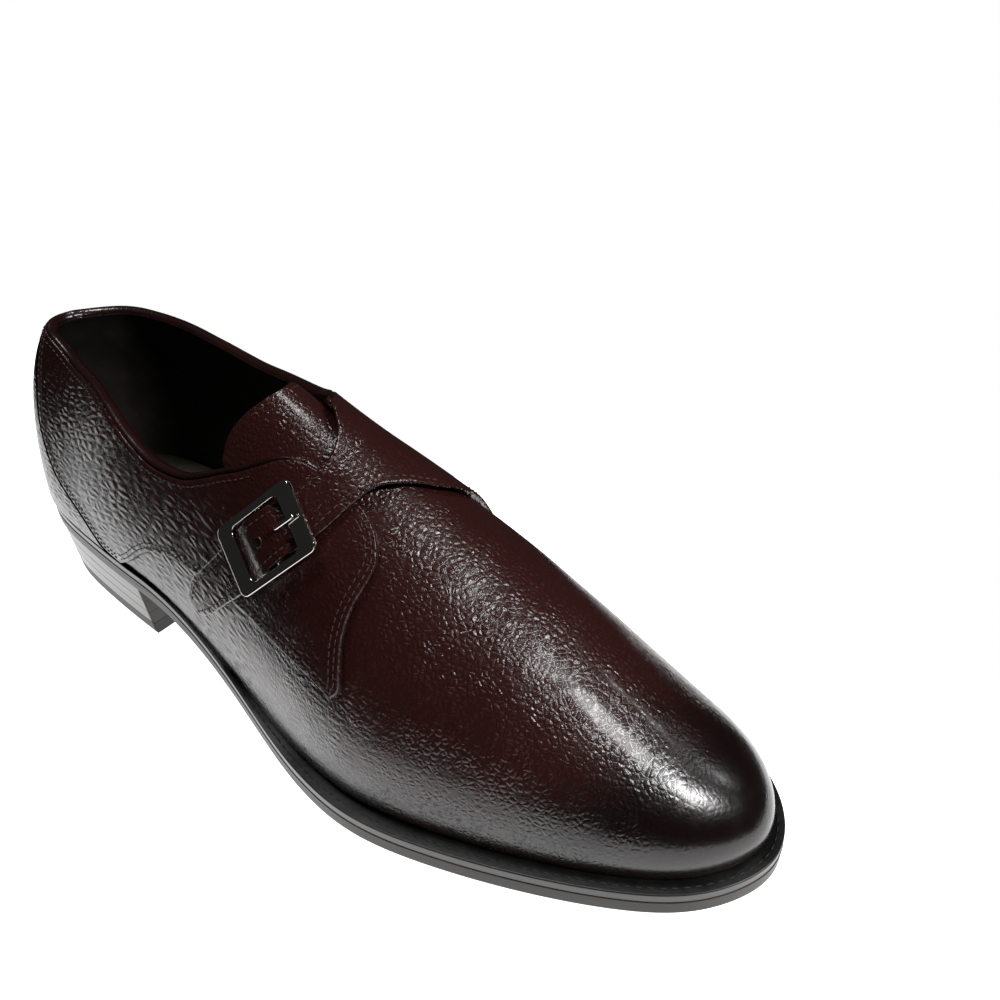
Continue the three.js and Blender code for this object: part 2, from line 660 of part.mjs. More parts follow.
// Lift 0 is the top lift on the ground, and the others fill the wedge up to the outsole.
function heelLift(k) {
  const to = stationOf(HEEL_BREAST);
  const floorOf = (x) => (k === 0 ? 0 : TOP_LIFT_THICK + GAP + (k - 1) * pitchOf(x));
  const pitchOf = (x) => (treadHeight(x) - GAP - TOP_LIFT_THICK) / LIFT_COUNT;
  const bottom = floorOf;
  const top = (x) => (k === 0 ? TOP_LIFT_THICK : TOP_LIFT_THICK + k * pitchOf(x));
  const insetAt = (share) => HEEL_TAPER + (HEEL_INSET - HEEL_TAPER) * share;
  const inset = (station, medial, height) => insetAt((k + height) / (LIFT_COUNT + 1));
  return layer(0, to, 16, inset, bottom, top);
}

// A body from sections that follow each other, each a ring of points.
function sweep(sections, closed) {
  const polygons = [];
  const count = sections.length;
  const size = sections[0].length;
  for (let i = 0; i < (closed ? count : count - 1); i++) {
    const next = sections[(i + 1) % count];
    sections[i].forEach((p, k) => polygons.push([p, sections[i][(k + 1) % size], next[(k + 1) % size], next[k]]));
  }
  if (!closed) polygons.push([...sections[0]].reverse(), sections[count - 1]);
  return weld(polygons);
}

// The points of a rounded rectangle, four on each corner.
function roundedRing(long, wide, radius) {
  const corners = [[1, 1], [-1, 1], [-1, -1], [1, -1]];
  return corners.flatMap(([x, y], k) =>
    shares(3).map((u) => {
      const angle = ((k + u) * Math.PI) / 2;
      const along = x * (long / 2 - radius) + radius * Math.cos(angle);
      return [along, y * (wide / 2 - radius) + radius * Math.sin(angle)];
    }),
  );
}

// The flat frame, with a bevel round its outer and its inner top edge.
function buckleFrame() {
  const half = BUCKLE_THICK / 2;
  const innerLong = BUCKLE_LONG - 2 * END_BAR;
  const innerWide = BUCKLE_WIDE - 2 * SIDE_BAR;
  const outer = roundedRing(BUCKLE_LONG, BUCKLE_WIDE, BUCKLE_CORNER);
  const outerTop = roundedRing(BUCKLE_LONG - 2 * BUCKLE_BEVEL, BUCKLE_WIDE - 2 * BUCKLE_BEVEL, BUCKLE_CORNER - BUCKLE_BEVEL);
  const innerTop = roundedRing(innerLong + 2 * BUCKLE_BEVEL, innerWide + 2 * BUCKLE_BEVEL, BUCKLE_CORNER);
  const inner = roundedRing(innerLong, innerWide, BUCKLE_CORNER - BUCKLE_BEVEL);
  const sections = outer.map((_, i) => [
    atBuckle(...outer[i], -half),
    atBuckle(...outer[i], half - BUCKLE_BEVEL),
    atBuckle(...outerTop[i], half),
    atBuckle(...innerTop[i], half),
    atBuckle(...inner[i], half - BUCKLE_BEVEL),
    atBuckle(...inner[i], -half),
  ]);
  return sweep(sections, true);
}

// An eight-sided section about a point: first is its half width one way, and second the other way.
function octagon(middle, first, second) {
  return shares(8)
    .slice(0, -1)
    .map((u) => {
      const angle = (u + 1 / 16) * 2 * Math.PI;
      return middle.clone().addScaledVector(first, Math.cos(angle)).addScaledVector(second, Math.sin(angle));
    });
}

const BAR_OUT = PILE + PIN_THICK / 2 - BUCKLE_LIFT; // centre bar, out from the frame's middle

// The centre bar runs under the strap from one side bar to the other.
function centreBar() {
  const reach = BUCKLE_WIDE / 2 - SIDE_BAR - GAP;
  const [first, second] = [buckle.along, buckle.out].map((v) => v.clone().multiplyScalar(PIN_THICK / 2));
  return sweep([-reach, reach].map((across) => octagon(atBuckle(0, across, BAR_OUT), first, second)), false);
}

// The prong comes from the centre bar up through the strap's hole and lies on the front bar.
function prong() {
  const frontBar = -BUCKLE_LONG / 2 + END_BAR;
  const hole = HOLE_FROM + 0.45 * HOLE_LONG;
  const above = BUCKLE_THICK / 2 + SURFACE_GAP + PIN_THICK / 2;
  const stops = [
    [-PIN_THICK - GAP, BAR_OUT],
    [hole + 1.1, BAR_OUT],
    [hole + 0.45, BAR_OUT + 0.35],
    [hole - 0.35, above - 0.2],
    [hole - 1.1, above + 0.25],
    [frontBar - 1, above + 0.1],
    [frontBar - 3.2, above],
    [frontBar - 3.9, above + 0.5],
  ];
  const across = buckle.across.clone().multiplyScalar(PIN_THICK / 2);
  const sections = stops.map(([along, out], i) => {
    const [a, b] = [stops[Math.max(0, i - 1)], stops[Math.min(stops.length - 1, i + 1)]];
    const run = atBuckle(b[0], 0, b[1]).sub(atBuckle(a[0], 0, a[1])).normalize();
    const up = run.cross(buckle.across).normalize().multiplyScalar(PIN_THICK / 2);
    return octagon(atBuckle(along, 0, out), up, across);
  });
  return sweep(sections, false);
}

const finish = (color, roughness, metalness) => new THREE.MeshStandardMaterial({ color, roughness, metalness });
const GRAIN_LEATHER = finish(0x3b1a18, 0.42, 0);
const LINING_LEATHER = finish(0x2a2018, 0.7, 0);
const EDGE_LEATHER = finish(0x14110f, 0.35, 0);
const NICKEL = finish(0xc9c6c0, 0.12, 1);

const shoe = new THREE.Group();
shoe.position.set(-HEEL_MIDDLE * SHOE_LENGTH, -(soleLateral(stationOf(HEEL_MIDDLE)) + soleMedial(stationOf(HEEL_MIDDLE))) * 0.5 * BALL_WIDTH, 0);
function add(name, geometry, material) {
  const mesh = new THREE.Mesh(geometry, material);
  mesh.name = name;
  shoe.add(mesh);
}

add("upper", upperBody(), GRAIN_LEATHER);
add("quarter_lateral", quarterLateral(), GRAIN_LEATHER);
add("quarter_medial_strap", quarterMedialStrap(), GRAIN_LEATHER);
add("heel_counter", heelCounter(), GRAIN_LEATHER);
add("tongue", tongue(), GRAIN_LEATHER);
add("insole", insole(), LINING_LEATHER);
add("welt", welt(), EDGE_LEATHER);
add("outsole", outsole(), EDGE_LEATHER);
add("heel_top_lift", heelLift(0), EDGE_LEATHER);
for (let k = 1; k <= LIFT_COUNT; k++) add(`heel_lift_${k}`, heelLift(k), EDGE_LEATHER);
add("buckle_frame", buckleFrame(), NICKEL);
add("buckle_centre_bar", centreBar(), NICKEL);
add("buckle_prong", prong(), NICKEL);

export default shoe;
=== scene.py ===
"""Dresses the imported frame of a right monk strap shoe.

It makes the leather, the stitching, the sole's edge, the heel and the buckle.

Lengths are millimetres until a mesh is made, and X runs to the toe, Y to the medial side and Z up.
"""

from __future__ import annotations

import logging
import math
from dataclasses import dataclass, field
from enum import Enum
from typing import Callable, Sequence

import bmesh
import bpy
import numpy as np
from mathutils import Matrix

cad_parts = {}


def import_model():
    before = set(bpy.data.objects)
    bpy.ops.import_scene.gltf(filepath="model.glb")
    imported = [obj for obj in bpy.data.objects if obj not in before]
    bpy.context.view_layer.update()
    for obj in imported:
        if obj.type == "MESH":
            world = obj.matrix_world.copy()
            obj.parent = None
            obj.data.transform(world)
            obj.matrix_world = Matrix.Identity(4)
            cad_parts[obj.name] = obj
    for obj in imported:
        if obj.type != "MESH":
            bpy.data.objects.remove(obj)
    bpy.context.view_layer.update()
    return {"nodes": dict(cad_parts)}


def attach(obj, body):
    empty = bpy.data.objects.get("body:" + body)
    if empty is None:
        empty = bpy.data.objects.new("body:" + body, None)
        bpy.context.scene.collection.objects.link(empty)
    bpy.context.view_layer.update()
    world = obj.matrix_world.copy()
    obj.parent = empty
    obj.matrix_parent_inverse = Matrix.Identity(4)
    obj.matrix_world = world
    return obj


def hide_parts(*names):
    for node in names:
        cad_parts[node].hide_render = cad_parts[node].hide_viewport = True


LOG = logging.getLogger("monk_shoe")
METRES = 0.001  # a millimetre
TURN = 2 * math.pi
TINY = 1e-4  # a step in stations, for directions
Array = np.ndarray
Chart = Sequence[tuple[float, float]]


class Side(Enum):
    """Side of the shoe, with the sign of its girth on the last."""

    LATERAL = -1
    MEDIAL = 1


class Spline:
    """A natural cubic spline through points."""

    def __init__(self, xs: Sequence[float], ys: Sequence[float]) -> None:
        """Solves for the second derivatives.

        Args:
            xs: Rising places of the points.
            ys: Values there.
        """
        self.xs = np.array(xs, float)
        self.ys = np.array(ys, float)
        count = len(xs)
        step = np.diff(self.xs)
        slope = np.diff(self.ys) / step
        system = np.eye(count)
        right = np.zeros(count)
        for i in range(1, count - 1):
            system[i, i - 1 : i + 2] = step[i - 1], 2 * (step[i - 1] + step[i]), step[i]
            right[i] = 6 * (slope[i] - slope[i - 1])
        self.bend = np.linalg.solve(system, right)

    def __call__(self, x: Array) -> Array:
        """Reads the spline, which runs on as its end pieces outside the points.

        Args:
            x: Places to read.

        Returns:
            The values there.
        """
        i = np.clip(np.searchsorted(self.xs, x) - 1, 0, len(self.xs) - 2)
        h = self.xs[i + 1] - self.xs[i]
        t = x - self.xs[i]
        u = self.xs[i + 1] - x
        low, high = self.bend[i], self.bend[i + 1]
        cubic = (low * u**3 + high * t**3) / (6 * h)
        return cubic + (self.ys[i] / h - low * h / 6) * u + (self.ys[i + 1] / h - high * h / 6) * t


def smooth(t: Array) -> Array:
    """An even step from 0 to 1."""
    u = np.clip(t, 0, 1)
    return u * u * (3 - 2 * u)


def unit(vectors: Array) -> Array:
    """Vectors brought to length 1."""
    return vectors / np.maximum(np.linalg.norm(vectors, axis=-1, keepdims=True), 1e-12)


def shares(count: int) -> Array:
    """Even shares from 0 to 1, in a number of steps."""
    return np.linspace(0, 1, count + 1)


def close_at_ends(count: int, low: float = 0.92, high: float = 0.92) -> Array:
    """Shares from 0 to 1 that lie closer at the ends.

    Args:
        count: Number of steps.
        low: How close they lie at 0, from 0 for even to 1.
        high: The same at 1.

    Returns:
        The shares.
    """
    t = shares(count)
    pull = low * (1 - t) + high * t
    bent = t - pull * np.sin(2 * math.pi * t) / (2 * math.pi)
    return np.maximum.accumulate(np.clip(bent, 0, 1))


@dataclass(frozen=True)
class Last:
    """The form that the shoe is built on.

    A station runs from 0 at the heel to 1 at the toe, and girth from -1 at the lateral feather
    edge over 0 at the ridge to 1 at the medial one.
    """

    length: float = 300.0
    ball_width: float = 100.0
    cone: float = 95.0
    heel: float = 21.5
    pitch: float = 2.0
    toe_spring: float = 6.0
    toe_bend: float = 1.7
    outsole: float = 4.8
    welt: float = 2.75
    gap: float = 0.3
    wall: float = 2.0
    heel_middle: float = 0.13
    breast: float = 0.263
    ball_rear: float = 0.573
    ball_front: float = 0.667
    toe_pole: float = 0.88
    heel_pole: float = 0.147
    pole_soft: float = 0.03
    # Share of the length, then shares of the ball width: lateral, medial.
    sole: tuple = (
        (0, 0.01, 0.01), (0.027, -0.175, 0.155), (0.073, -0.235, 0.265), (0.15, -0.27, 0.315),
        (0.25, -0.295, 0.31), (0.35, -0.315, 0.28), (0.45, -0.363, 0.3), (0.55, -0.435, 0.395),
        (0.64, -0.473, 0.495), (0.727, -0.435, 0.53), (0.81, -0.363, 0.49), (0.893, -0.268, 0.415),
        (0.953, -0.165, 0.32), (0.988, -0.045, 0.2), (1, 0.07, 0.07),
    )
    # Share of the length, then the welt's width in millimetres: lateral, medial.
    welt_width: tuple = (
        (0, 1.5, 1.5), (0.25, 1.2, 1.2), (0.4, 1.5, 2), (0.6, 4.6, 4), (0.83, 4.6, 4.4),
        (1, 4.3, 4.3),
    )
    # Share of the length, side as a share of the ball width, rise as a share of the cone.
    ridge: tuple = (
        (0.133, 0.08, 0.858), (0.2, 0.07, 0.895), (0.3, 0.05, 0.934), (0.4, 0.03, 0.991),
        (0.483, 0.015, 0.997), (0.567, 0.015, 0.933), (0.65, 0.03, 0.786), (0.733, 0.04, 0.62),
        (0.817, 0.05, 0.457), (0.873, 0.058, 0.338), (0.907, 0.063, 0.27),
    )
    # Share of the length, then lean, rise and crown of the section, each lateral and medial.
    form: tuple = (
        (0, -0.005, -0.005, 0.66, 0.66, 0.64, 0.64), (0.083, -0.025, 0.04, 0.46, 0.7, 0.34, 0.76),
        (0.25, 0, 0.05, 0.51, 0.7, 0.37, 0.78), (0.4, 0.018, 0.028, 0.51, 0.7, 0.4, 0.68),
        (0.55, 0.032, 0.01, 0.5, 0.5, 0.45, 0.5), (0.667, 0.054, 0.041, 0.49, 0.46, 0.49, 0.47),
        (0.783, 0.05, 0.045, 0.55, 0.42, 0.54, 0.43), (0.9, 0.044, 0.043, 0.6, 0.47, 0.55, 0.48),
        (1, 0.04, 0.04, 0.58, 0.58, 0.54, 0.54),
    )
    curves: dict = field(default_factory=dict, compare=False)

    def __post_init__(self) -> None:
        """Makes the splines of the tables."""
        stations = [self.station(row[0]) for row in self.sole]
        for k, name in enumerate(("sole_l", "sole_m")):
            self.curves[name] = Spline(stations, [row[k + 1] for row in self.sole])
        tables = (
            (self.welt_width, ("welt_l", "welt_m")),
            (self.ridge, ("ridge_side", "ridge_rise")),
            (self.form, ("lean_l", "lean_m", "rise_l", "rise_m", "crown_l", "crown_m")),
        )
        for table, names in tables:
            for k, name in enumerate(names):
                self.curves[name] = Spline([row[0] for row in table], [row[k + 1] for row in table])

    @staticmethod
    def station(along: Array) -> Array:
        """The station of a share of the length."""
        return np.arccos(1 - 2 * np.asarray(along, float)) / math.pi

    @staticmethod
    def along(station: Array) -> Array:
        """The share of the length of a station."""
        return (1 - np.cos(math.pi * np.asarray(station, float))) / 2

    def pick(self, name: str, at: Array, medial: Array) -> Array:
        """Reads the lateral or the medial curve of a pair.

        Args:
            name: Name of the pair.
            at: Places to read.
            medial: True for the medial curve.

        Returns:
            The values.
        """
        return np.where(medial, self.curves[name + "_m"](at), self.curves[name + "_l"](at))

    @property
    def origin(self) -> Array:
        """The point under the middle of the heel.

        Returns:
            The point, from the back of the heel.
        """
        at = np.array(self.station(self.heel_middle))
        side = (self.curves["sole_l"](at) + self.curves["sole_m"](at)) / 2 * self.ball_width
        return np.array([self.heel_middle * self.length, float(side), 0.0])

    def tread(self, x: Array) -> Array:
        """Height of the outsole's underside at a distance from the back of the heel.

        Args:
            x: Distances from the back of the heel.

        Returns:
            Heights over the ground.
        """
        back, rear, front = (
            share * self.length for share in (self.breast, self.ball_rear, self.ball_front)
        )
        u = np.clip((x - back) / (rear - back), 0, 1)
        waist = self.heel * (1 - u) ** 2 * (1 + 2 * u)
        toe = self.toe_spring * np.clip(
            (x - front) / (self.length - front), 0, None
        ) ** self.toe_bend
        seat = self.heel + self.pitch * (back - x) / back
        return np.where(x < back, seat, np.where(x < rear, waist, toe))

    @property
    def sole_edge(self) -> float:
        """Thickness of the outsole and the welt with their gaps."""
        return self.outsole + self.welt + 2 * self.gap

    def seat(self, x: Array) -> Array:
        """Height of the feather edge."""
        return self.tread(x) + self.sole_edge

    def outline(
        self, station: Array, medial: Array, inset: Array | float = 0
    ) -> tuple[Array, Array]:
        """Points of the sole's outline, moved in by a distance.

        Args:
            station: Stations.
            medial: True for the medial side.
            inset: Distances in.

        Returns:
            The points and the outward directions, in the plane.
        """
        station, medial = np.broadcast_arrays(np.asarray(station, float), medial)

        def at(s: Array) -> Array:
            """The outline's points at stations."""
            c = np.clip(s, 0, 1)
            side = self.pick("sole", c, medial) * self.ball_width
            return np.stack([self.along(c) * self.length, side], -1)

        run = unit(at(station + TINY) - at(station - TINY))
        sign = np.where(medial, 1.0, -1.0)
        side = np.stack([np.zeros_like(sign), sign], -1)
        run = np.where((station <= 0)[..., None], side, run)
        run = np.where((station >= 1)[..., None], -side, run)
        out = np.stack([-run[..., 1], run[..., 0]], -1) * sign[..., None]
        return at(station) - out * np.asarray(inset, float)[..., None], out

    def pole(self, along: Array) -> Array:
        """Slows the ridge to a stop near each end.

        Args:
            along: Shares of the length.

        Returns:
            The shares at which the ridge is read.
        """

        def ease(d: Array) -> Array:
            """What lies past a pole, with a soft start."""
            soft = self.pole_soft
            bend = np.clip(d + soft, 0, None) ** 2 / (4 * soft)
            return np.where(d >= soft, d, np.where(d <= -soft, 0, bend))

        return along - ease(along - self.toe_pole) + ease(self.heel_pole - along)

    def surface(self, station: Array, girth: Array) -> Array:
        """Points of the last, as cubic sections from the feather edge to the ridge.

        Args:
            station: Stations.
            girth: Girths.

        Returns:
            The points, from the back of the heel.
        """
        station, girth = np.broadcast_arrays(np.asarray(station, float), np.asarray(girth, float))
        turned = (station < 0) | (station > 1)
        s = np.where(station > 1, 2 - station, np.abs(station))
        g = np.where(turned, -girth, girth)
        medial = g > 0
        t = (1 - np.abs(g))[..., None]
        along = self.along(s)
        low2, out = self.outline(s, medial, self.pick("welt", along, medial))
        low = np.concatenate([low2, self.seat(low2[..., 0])[..., None]], -1)
        at = self.pole(along)

        def height(share: Array) -> Array:
            """Height of the ridge at a share of the length."""
            return self.seat(share * self.length) + self.curves["ridge_rise"](share) * self.cone

        side = self.curves["ridge_side"](at) * self.ball_width
        top = np.stack([at * self.length, side, height(at)], -1)
        step = 0.002
        fall = (height(at + step) - height(at - step)) / (2 * step * self.length)
        reach = low2 - top[..., :2]
        rise = self.pick("rise", along, medial) * (top[..., 2] - low[..., 2])
        lean = self.pick("lean", along, medial)[..., None] * self.ball_width
        wall = low + np.concatenate([out * lean, rise[..., None]], -1)
        crown = self.pick("crown", along, medial)
        over = [reach[..., 0] * crown, reach[..., 1] * crown, fall * reach[..., 0] * crown]
        brow = top + np.stack(over, -1)
        k = 1 - t
        return low * k**3 + wall * 3 * k * k * t + brow * 3 * k * t * t + top * t**3

    def normal(self, station: Array, girth: Array) -> Array:
        """Outward directions of the last.

        Args:
            station: Stations.
            girth: Girths.

        Returns:
            Directions of length 1.
        """
        by, turn = 0.004, 0.01  # steps in stations and in girth
        run = self.surface(station + by, girth) - self.surface(station - by, girth)
        above = self.surface(station, np.minimum(girth + turn, 1))
        across = above - self.surface(station, np.maximum(girth - turn, -1))
        normal = unit(np.cross(run, across))
        at = self.pole(self.along(np.clip(np.abs(station), 0, 1))) * self.length
        side, rise = 0.02 * self.ball_width, 0.2 * self.cone
        middle = np.stack([at, np.full_like(at, side), self.seat(at) + rise], -1)
        outward = self.surface(station, girth) - middle
        facing = np.sum(normal * outward, -1, keepdims=True)
        return np.where(facing < 0, -normal, normal)

    def place(self, chart: Array, lift: Array | float) -> Array:
        """Points that lie a distance out from the last, from the shoe's origin.

        Args:
            chart: Chart points.
            lift: Distances out.

        Returns:
            The points.
        """
        lift = np.asarray(lift, float)
        point = self.surface(chart[..., 0], chart[..., 1])
        return point + self.normal(chart[..., 0], chart[..., 1]) * lift[..., None] - self.origin


LAST = Last()
STATION_SPAN = 3.4  # girths that a station counts for in the length of a line
SEAT = 0.985  # girth at which the panels end, over the feather edge


class Line:
    """A smooth line through chart points, read by its share of length."""

    samples_per_span = 24

    def __init__(self, points: Chart) -> None:
        """Samples the line closely.

        Args:
            points: Pairs of station and girth.
        """
        p = np.array(points, float) * [STATION_SPAN, 1]
        ends = np.concatenate([p[:1], p, p[-1:]])
        t = np.linspace(0, 1, self.samples_per_span, endpoint=False)[:, None]
        parts = []
        for a, b, c, d in zip(ends, ends[1:], ends[2:], ends[3:]):
            v, w = (c - a) / 2, (d - b) / 2
            cube, square = 2 * b - 2 * c + v + w, -3 * b + 3 * c - 2 * v - w
            parts.append(cube * t**3 + square * t**2 + v * t + b)
        self.samples = np.concatenate(parts + [p[-1:]])
        steps = np.linalg.norm(np.diff(self.samples, axis=0), axis=1)
        self.run = np.concatenate([[0], np.cumsum(steps)]) / steps.sum()

    def __call__(self, share: Array) -> Array:
        """Chart points at shares of the line's length.

        Args:
            share: Shares, from 0 to 1.

        Returns:
            The chart points.
        """
        columns = [np.interp(share, self.run, self.samples[:, k]) for k in (0, 1)]
        return np.stack(columns, -1) / [STATION_SPAN, 1]


class Chain:
    """Lines that follow each other."""

    def __init__(self, lines: Sequence[Line], ends: Sequence[float]) -> None:
        """Keeps the lines and the share at which each ends."""
        self.lines, self.ends = lines, ends

    def __call__(self, share: Array) -> Array:
        """Chart points at shares of the chain.

        Args:
            share: Shares, from 0 to 1.

        Returns:
            The chart points.
        """
        share = np.asarray(share, float)
        result = np.zeros(share.shape + (2,))
        start, slack = 0.0, 1e-9
        for line, end in zip(self.lines, self.ends):
            inside = (share >= start - slack) & (share <= end + slack)
            result[inside] = line((share[inside] - start) / (end - start))
            start = end
        return result


def patch(
    low: Callable, high: Callable, left: Callable, right: Callable, columns: Array, rows: Array
) -> Array:
    """Chart points over a field with four edges.

    Args:
        low: Edge at row 0.
        high: Edge at row 1.
        left: Edge at column 0, from low to high.
        right: Edge at column 1.
        columns: Shares along low and high.
        rows: Shares along left and right.

    Returns:
        An array of columns by rows by 2.
    """
    u, v = columns[:, None, None], rows[None, :, None]
    ends = np.array([0.0, 1.0])
    (a, b), (c, d) = low(ends), high(ends)
    along = (1 - v) * low(columns)[:, None] + v * high(columns)[:, None]
    across = (1 - u) * left(rows)[None] + u * right(rows)[None]
    return along + across - (1 - v) * ((1 - u) * a + u * b) - v * ((1 - u) * c + u * d)


class Pattern:
    """The pattern lines of the upper on the last's chart, the same as the solids have."""

    collar_lateral = (
        (0, -0.355), (0.035, -0.352), (0.066, -0.348), (0.1, -0.358), (0.158, -0.372),
        (0.267, -0.432), (0.323, -0.5), (0.356, -0.555), (0.386, -0.586), (0.409, -0.58),
        (0.432, -0.55), (0.451, -0.5), (0.468, -0.443), (0.484, -0.386), (0.498, -0.322),
        (0.51, -0.262), (0.524, -0.215),
    )
    collar_medial = (
        (0, 0.355), (0.035, 0.355), (0.07, 0.359), (0.185, 0.393), (0.25, 0.429), (0.293, 0.464),
        (0.333, 0.5), (0.369, 0.521), (0.402, 0.514), (0.432, 0.471), (0.458, 0.407),
        (0.478, 0.329), (0.494, 0.22), (0.505, 0.14),
    )
    throat_lateral = ((0.545, -0.19), (0.566, -0.12), (0.575, 0))
    throat_medial = ((0.532, 0.13), (0.56, 0.1), (0.575, 0))
    counter_seam = (
        (0.33, -SEAT), (0.303, -0.975), (0.283, -0.94), (0.264, -0.905), (0.231, -0.865),
        (0.204, -0.835), (0.175, -0.775), (0.15, -0.7), (0.133, -0.6), (0.112, -0.5),
        (0.089, -0.415), (0.077, -0.364),
    )
    quarter_seam = (
        (0.33, -SEAT), (0.349, -0.95), (0.366, -0.905), (0.384, -0.86), (0.402, -0.827),
        (0.425, -0.79), (0.448, -0.768), (0.488, -0.72), (0.517, -0.7), (0.557, -0.684),
        (0.584, -0.686),
    )
    facing_lateral = (
        (0.584, -0.686), (0.589, -0.65), (0.587, -0.6), (0.584, -0.529), (0.584, -0.45),
        (0.587, -0.36), (0.587, -0.293), (0.579, -0.236), (0.567, -0.205),
    )
    facing_medial = (
        (0.584, 0.686), (0.589, 0.65), (0.588, 0.6), (0.586, 0.529), (0.586, 0.45), (0.588, 0.37),
        (0.589, 0.3),
    )
    strap_base = ((0.505, 0.14), (0.54, 0.2), (0.57, 0.26), (0.589, 0.3))
    strap_rear = (
        (0.505, 0.14), (0.511, 0.064), (0.523, -0.01), (0.532, -0.07), (0.537, -0.143),
        (0.536, -0.2), (0.53, -0.264), (0.522, -0.35), (0.508, -0.44), (0.493, -0.527),
        (0.481, -0.607), (0.463, -0.7), (0.45, -0.76), (0.444, -0.807), (0.442, -0.835),
    )
    strap_front = (
        (0.589, 0.3), (0.59, 0.19), (0.586, 0.07), (0.575, -0.05), (0.567, -0.129), (0.562, -0.214),
        (0.557, -0.293), (0.55, -0.37), (0.537, -0.46), (0.523, -0.55), (0.504, -0.65),
        (0.487, -0.725), (0.473, -0.785), (0.462, -0.825), (0.454, -0.848),
    )
    tongue_rear = (
        (0.456, -0.46), (0.457, -0.38), (0.465, -0.28), (0.475, -0.17), (0.481, -0.05),
        (0.48, 0.06), (0.476, 0.16), (0.479, 0.24), (0.492, 0.29),
    )
    tongue_front = ((0.6, -0.2), (0.605, -0.1), (0.607, 0), (0.606, 0.1), (0.602, 0.2))
    tongue_lateral = ((0.456, -0.46), (0.475, -0.47), (0.51, -0.42), (0.55, -0.32), (0.6, -0.2))
    tongue_medial = ((0.492, 0.29), (0.51, 0.31), (0.55, 0.28), (0.602, 0.2))

    @staticmethod
    def mirrored(line: Chart) -> Chart:
        """The line on the other side of the shoe."""
        return [(s, -g) for s, g in line]

    @staticmethod
    def dropped(line: Chart, side: Side, by: float = 0.012) -> Chart:
        """The line moved down from the collar."""
        return [(s, g + side.value * by) for s, g in line]


def make_mesh(
    name: str, points: Array, faces: list, uv: Array | None = None, **marks: Array
) -> bpy.types.Object:
    """Makes a smooth object from points in millimetres.

    Args:
        name: Name of the piece.
        points: Points, n by 3.
        faces: Faces as lists of point numbers.
        uv: Texture place of each point, n by 2.
        marks: Named values of each point, n.

    Returns:
        The object.
    """
    mesh = bpy.data.meshes.new(name)
    mesh.from_pydata((points * METRES).tolist(), [], faces)
    if uv is not None:
        layer = mesh.uv_layers.new(name="chart")
        corners = np.zeros(len(mesh.loops), dtype=np.int32)
        mesh.loops.foreach_get("vertex_index", corners)
        layer.data.foreach_set("uv", uv[corners].astype(np.float32).ravel())
    for mark, values in marks.items():
        kind = "FLOAT_VECTOR" if values.ndim == 2 else "FLOAT"
        attribute = mesh.attributes.new(mark, kind, "POINT")
        key = "vector" if values.ndim == 2 else "value"
        attribute.data.foreach_set(key, values.astype(np.float32).ravel())
    mesh.shade_smooth()
    mesh.update()
    thing = bpy.data.objects.new(name, mesh)
    bpy.context.scene.collection.objects.link(thing)
    return thing


def grid_faces(columns: int, rows: int, start: int = 0, turned: bool = False) -> list:
    """Quads of a grid of points that is stored column by column.

    Args:
        columns: Number of columns.
        rows: Points in a column.
        start: Number of the first point.
        turned: True to turn the faces round.

    Returns:
        The faces.
    """
    faces = []
    for i in range(columns - 1):
        for j in range(rows - 1):
            low = start + i * rows + j
            quad = [low, low + rows, low + rows + 1, low + 1]
            faces.append(quad[::-1] if turned else quad)
    return faces


def tube_faces(rings: int, count: int, joined: bool = False) -> list:
    """Faces of a tube that is stored ring by ring, with flat ends unless it closes on itself.

    Args:
        rings: Number of rings.
        count: Points in a ring.
        joined: True to join the last ring to the first.

    Returns:
        The faces.
    """
    faces = []
    for i in range(rings if joined else rings - 1):
        low, high = i * count, (i + 1) % rings * count
        for k in range(count):
            n = (k + 1) % count
            faces.append([low + k, low + n, high + n, high + k])
    if not joined:
        faces += [list(range(count)), list(range((rings - 1) * count, rings * count))]
    return faces


def ring_angles(count: int) -> Array:
    """Even angles round a ring."""
    return np.linspace(0, TURN, count + 1)[:-1]


def tidy_mesh(thing: bpy.types.Object, reach: float = 2e-6) -> None:
    """Joins doubled points and turns the faces outwards.

    Args:
        thing: Object with a closed mesh.
        reach: Distance under which points are one, in metres.
    """
    work = bmesh.new()
    work.from_mesh(thing.data)
    bmesh.ops.remove_doubles(work, verts=work.verts, dist=reach)
    bmesh.ops.recalc_face_normals(work, faces=work.faces)
    work.to_mesh(thing.data)
    work.free()
    thing.data.shade_smooth()


def ride(piece: bpy.types.Object, slot: str, *nodes: str) -> None:
    """Hangs a piece on the shoe and reports it.

    Args:
        piece: The piece.
        slot: Name of a material slot; not used.
        nodes: Solids that the piece stands for.
    """
    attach(piece, "root")
    if nodes:
        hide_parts(*nodes)
    LOG.info("%s: %d faces", piece.name, len(piece.data.polygons))


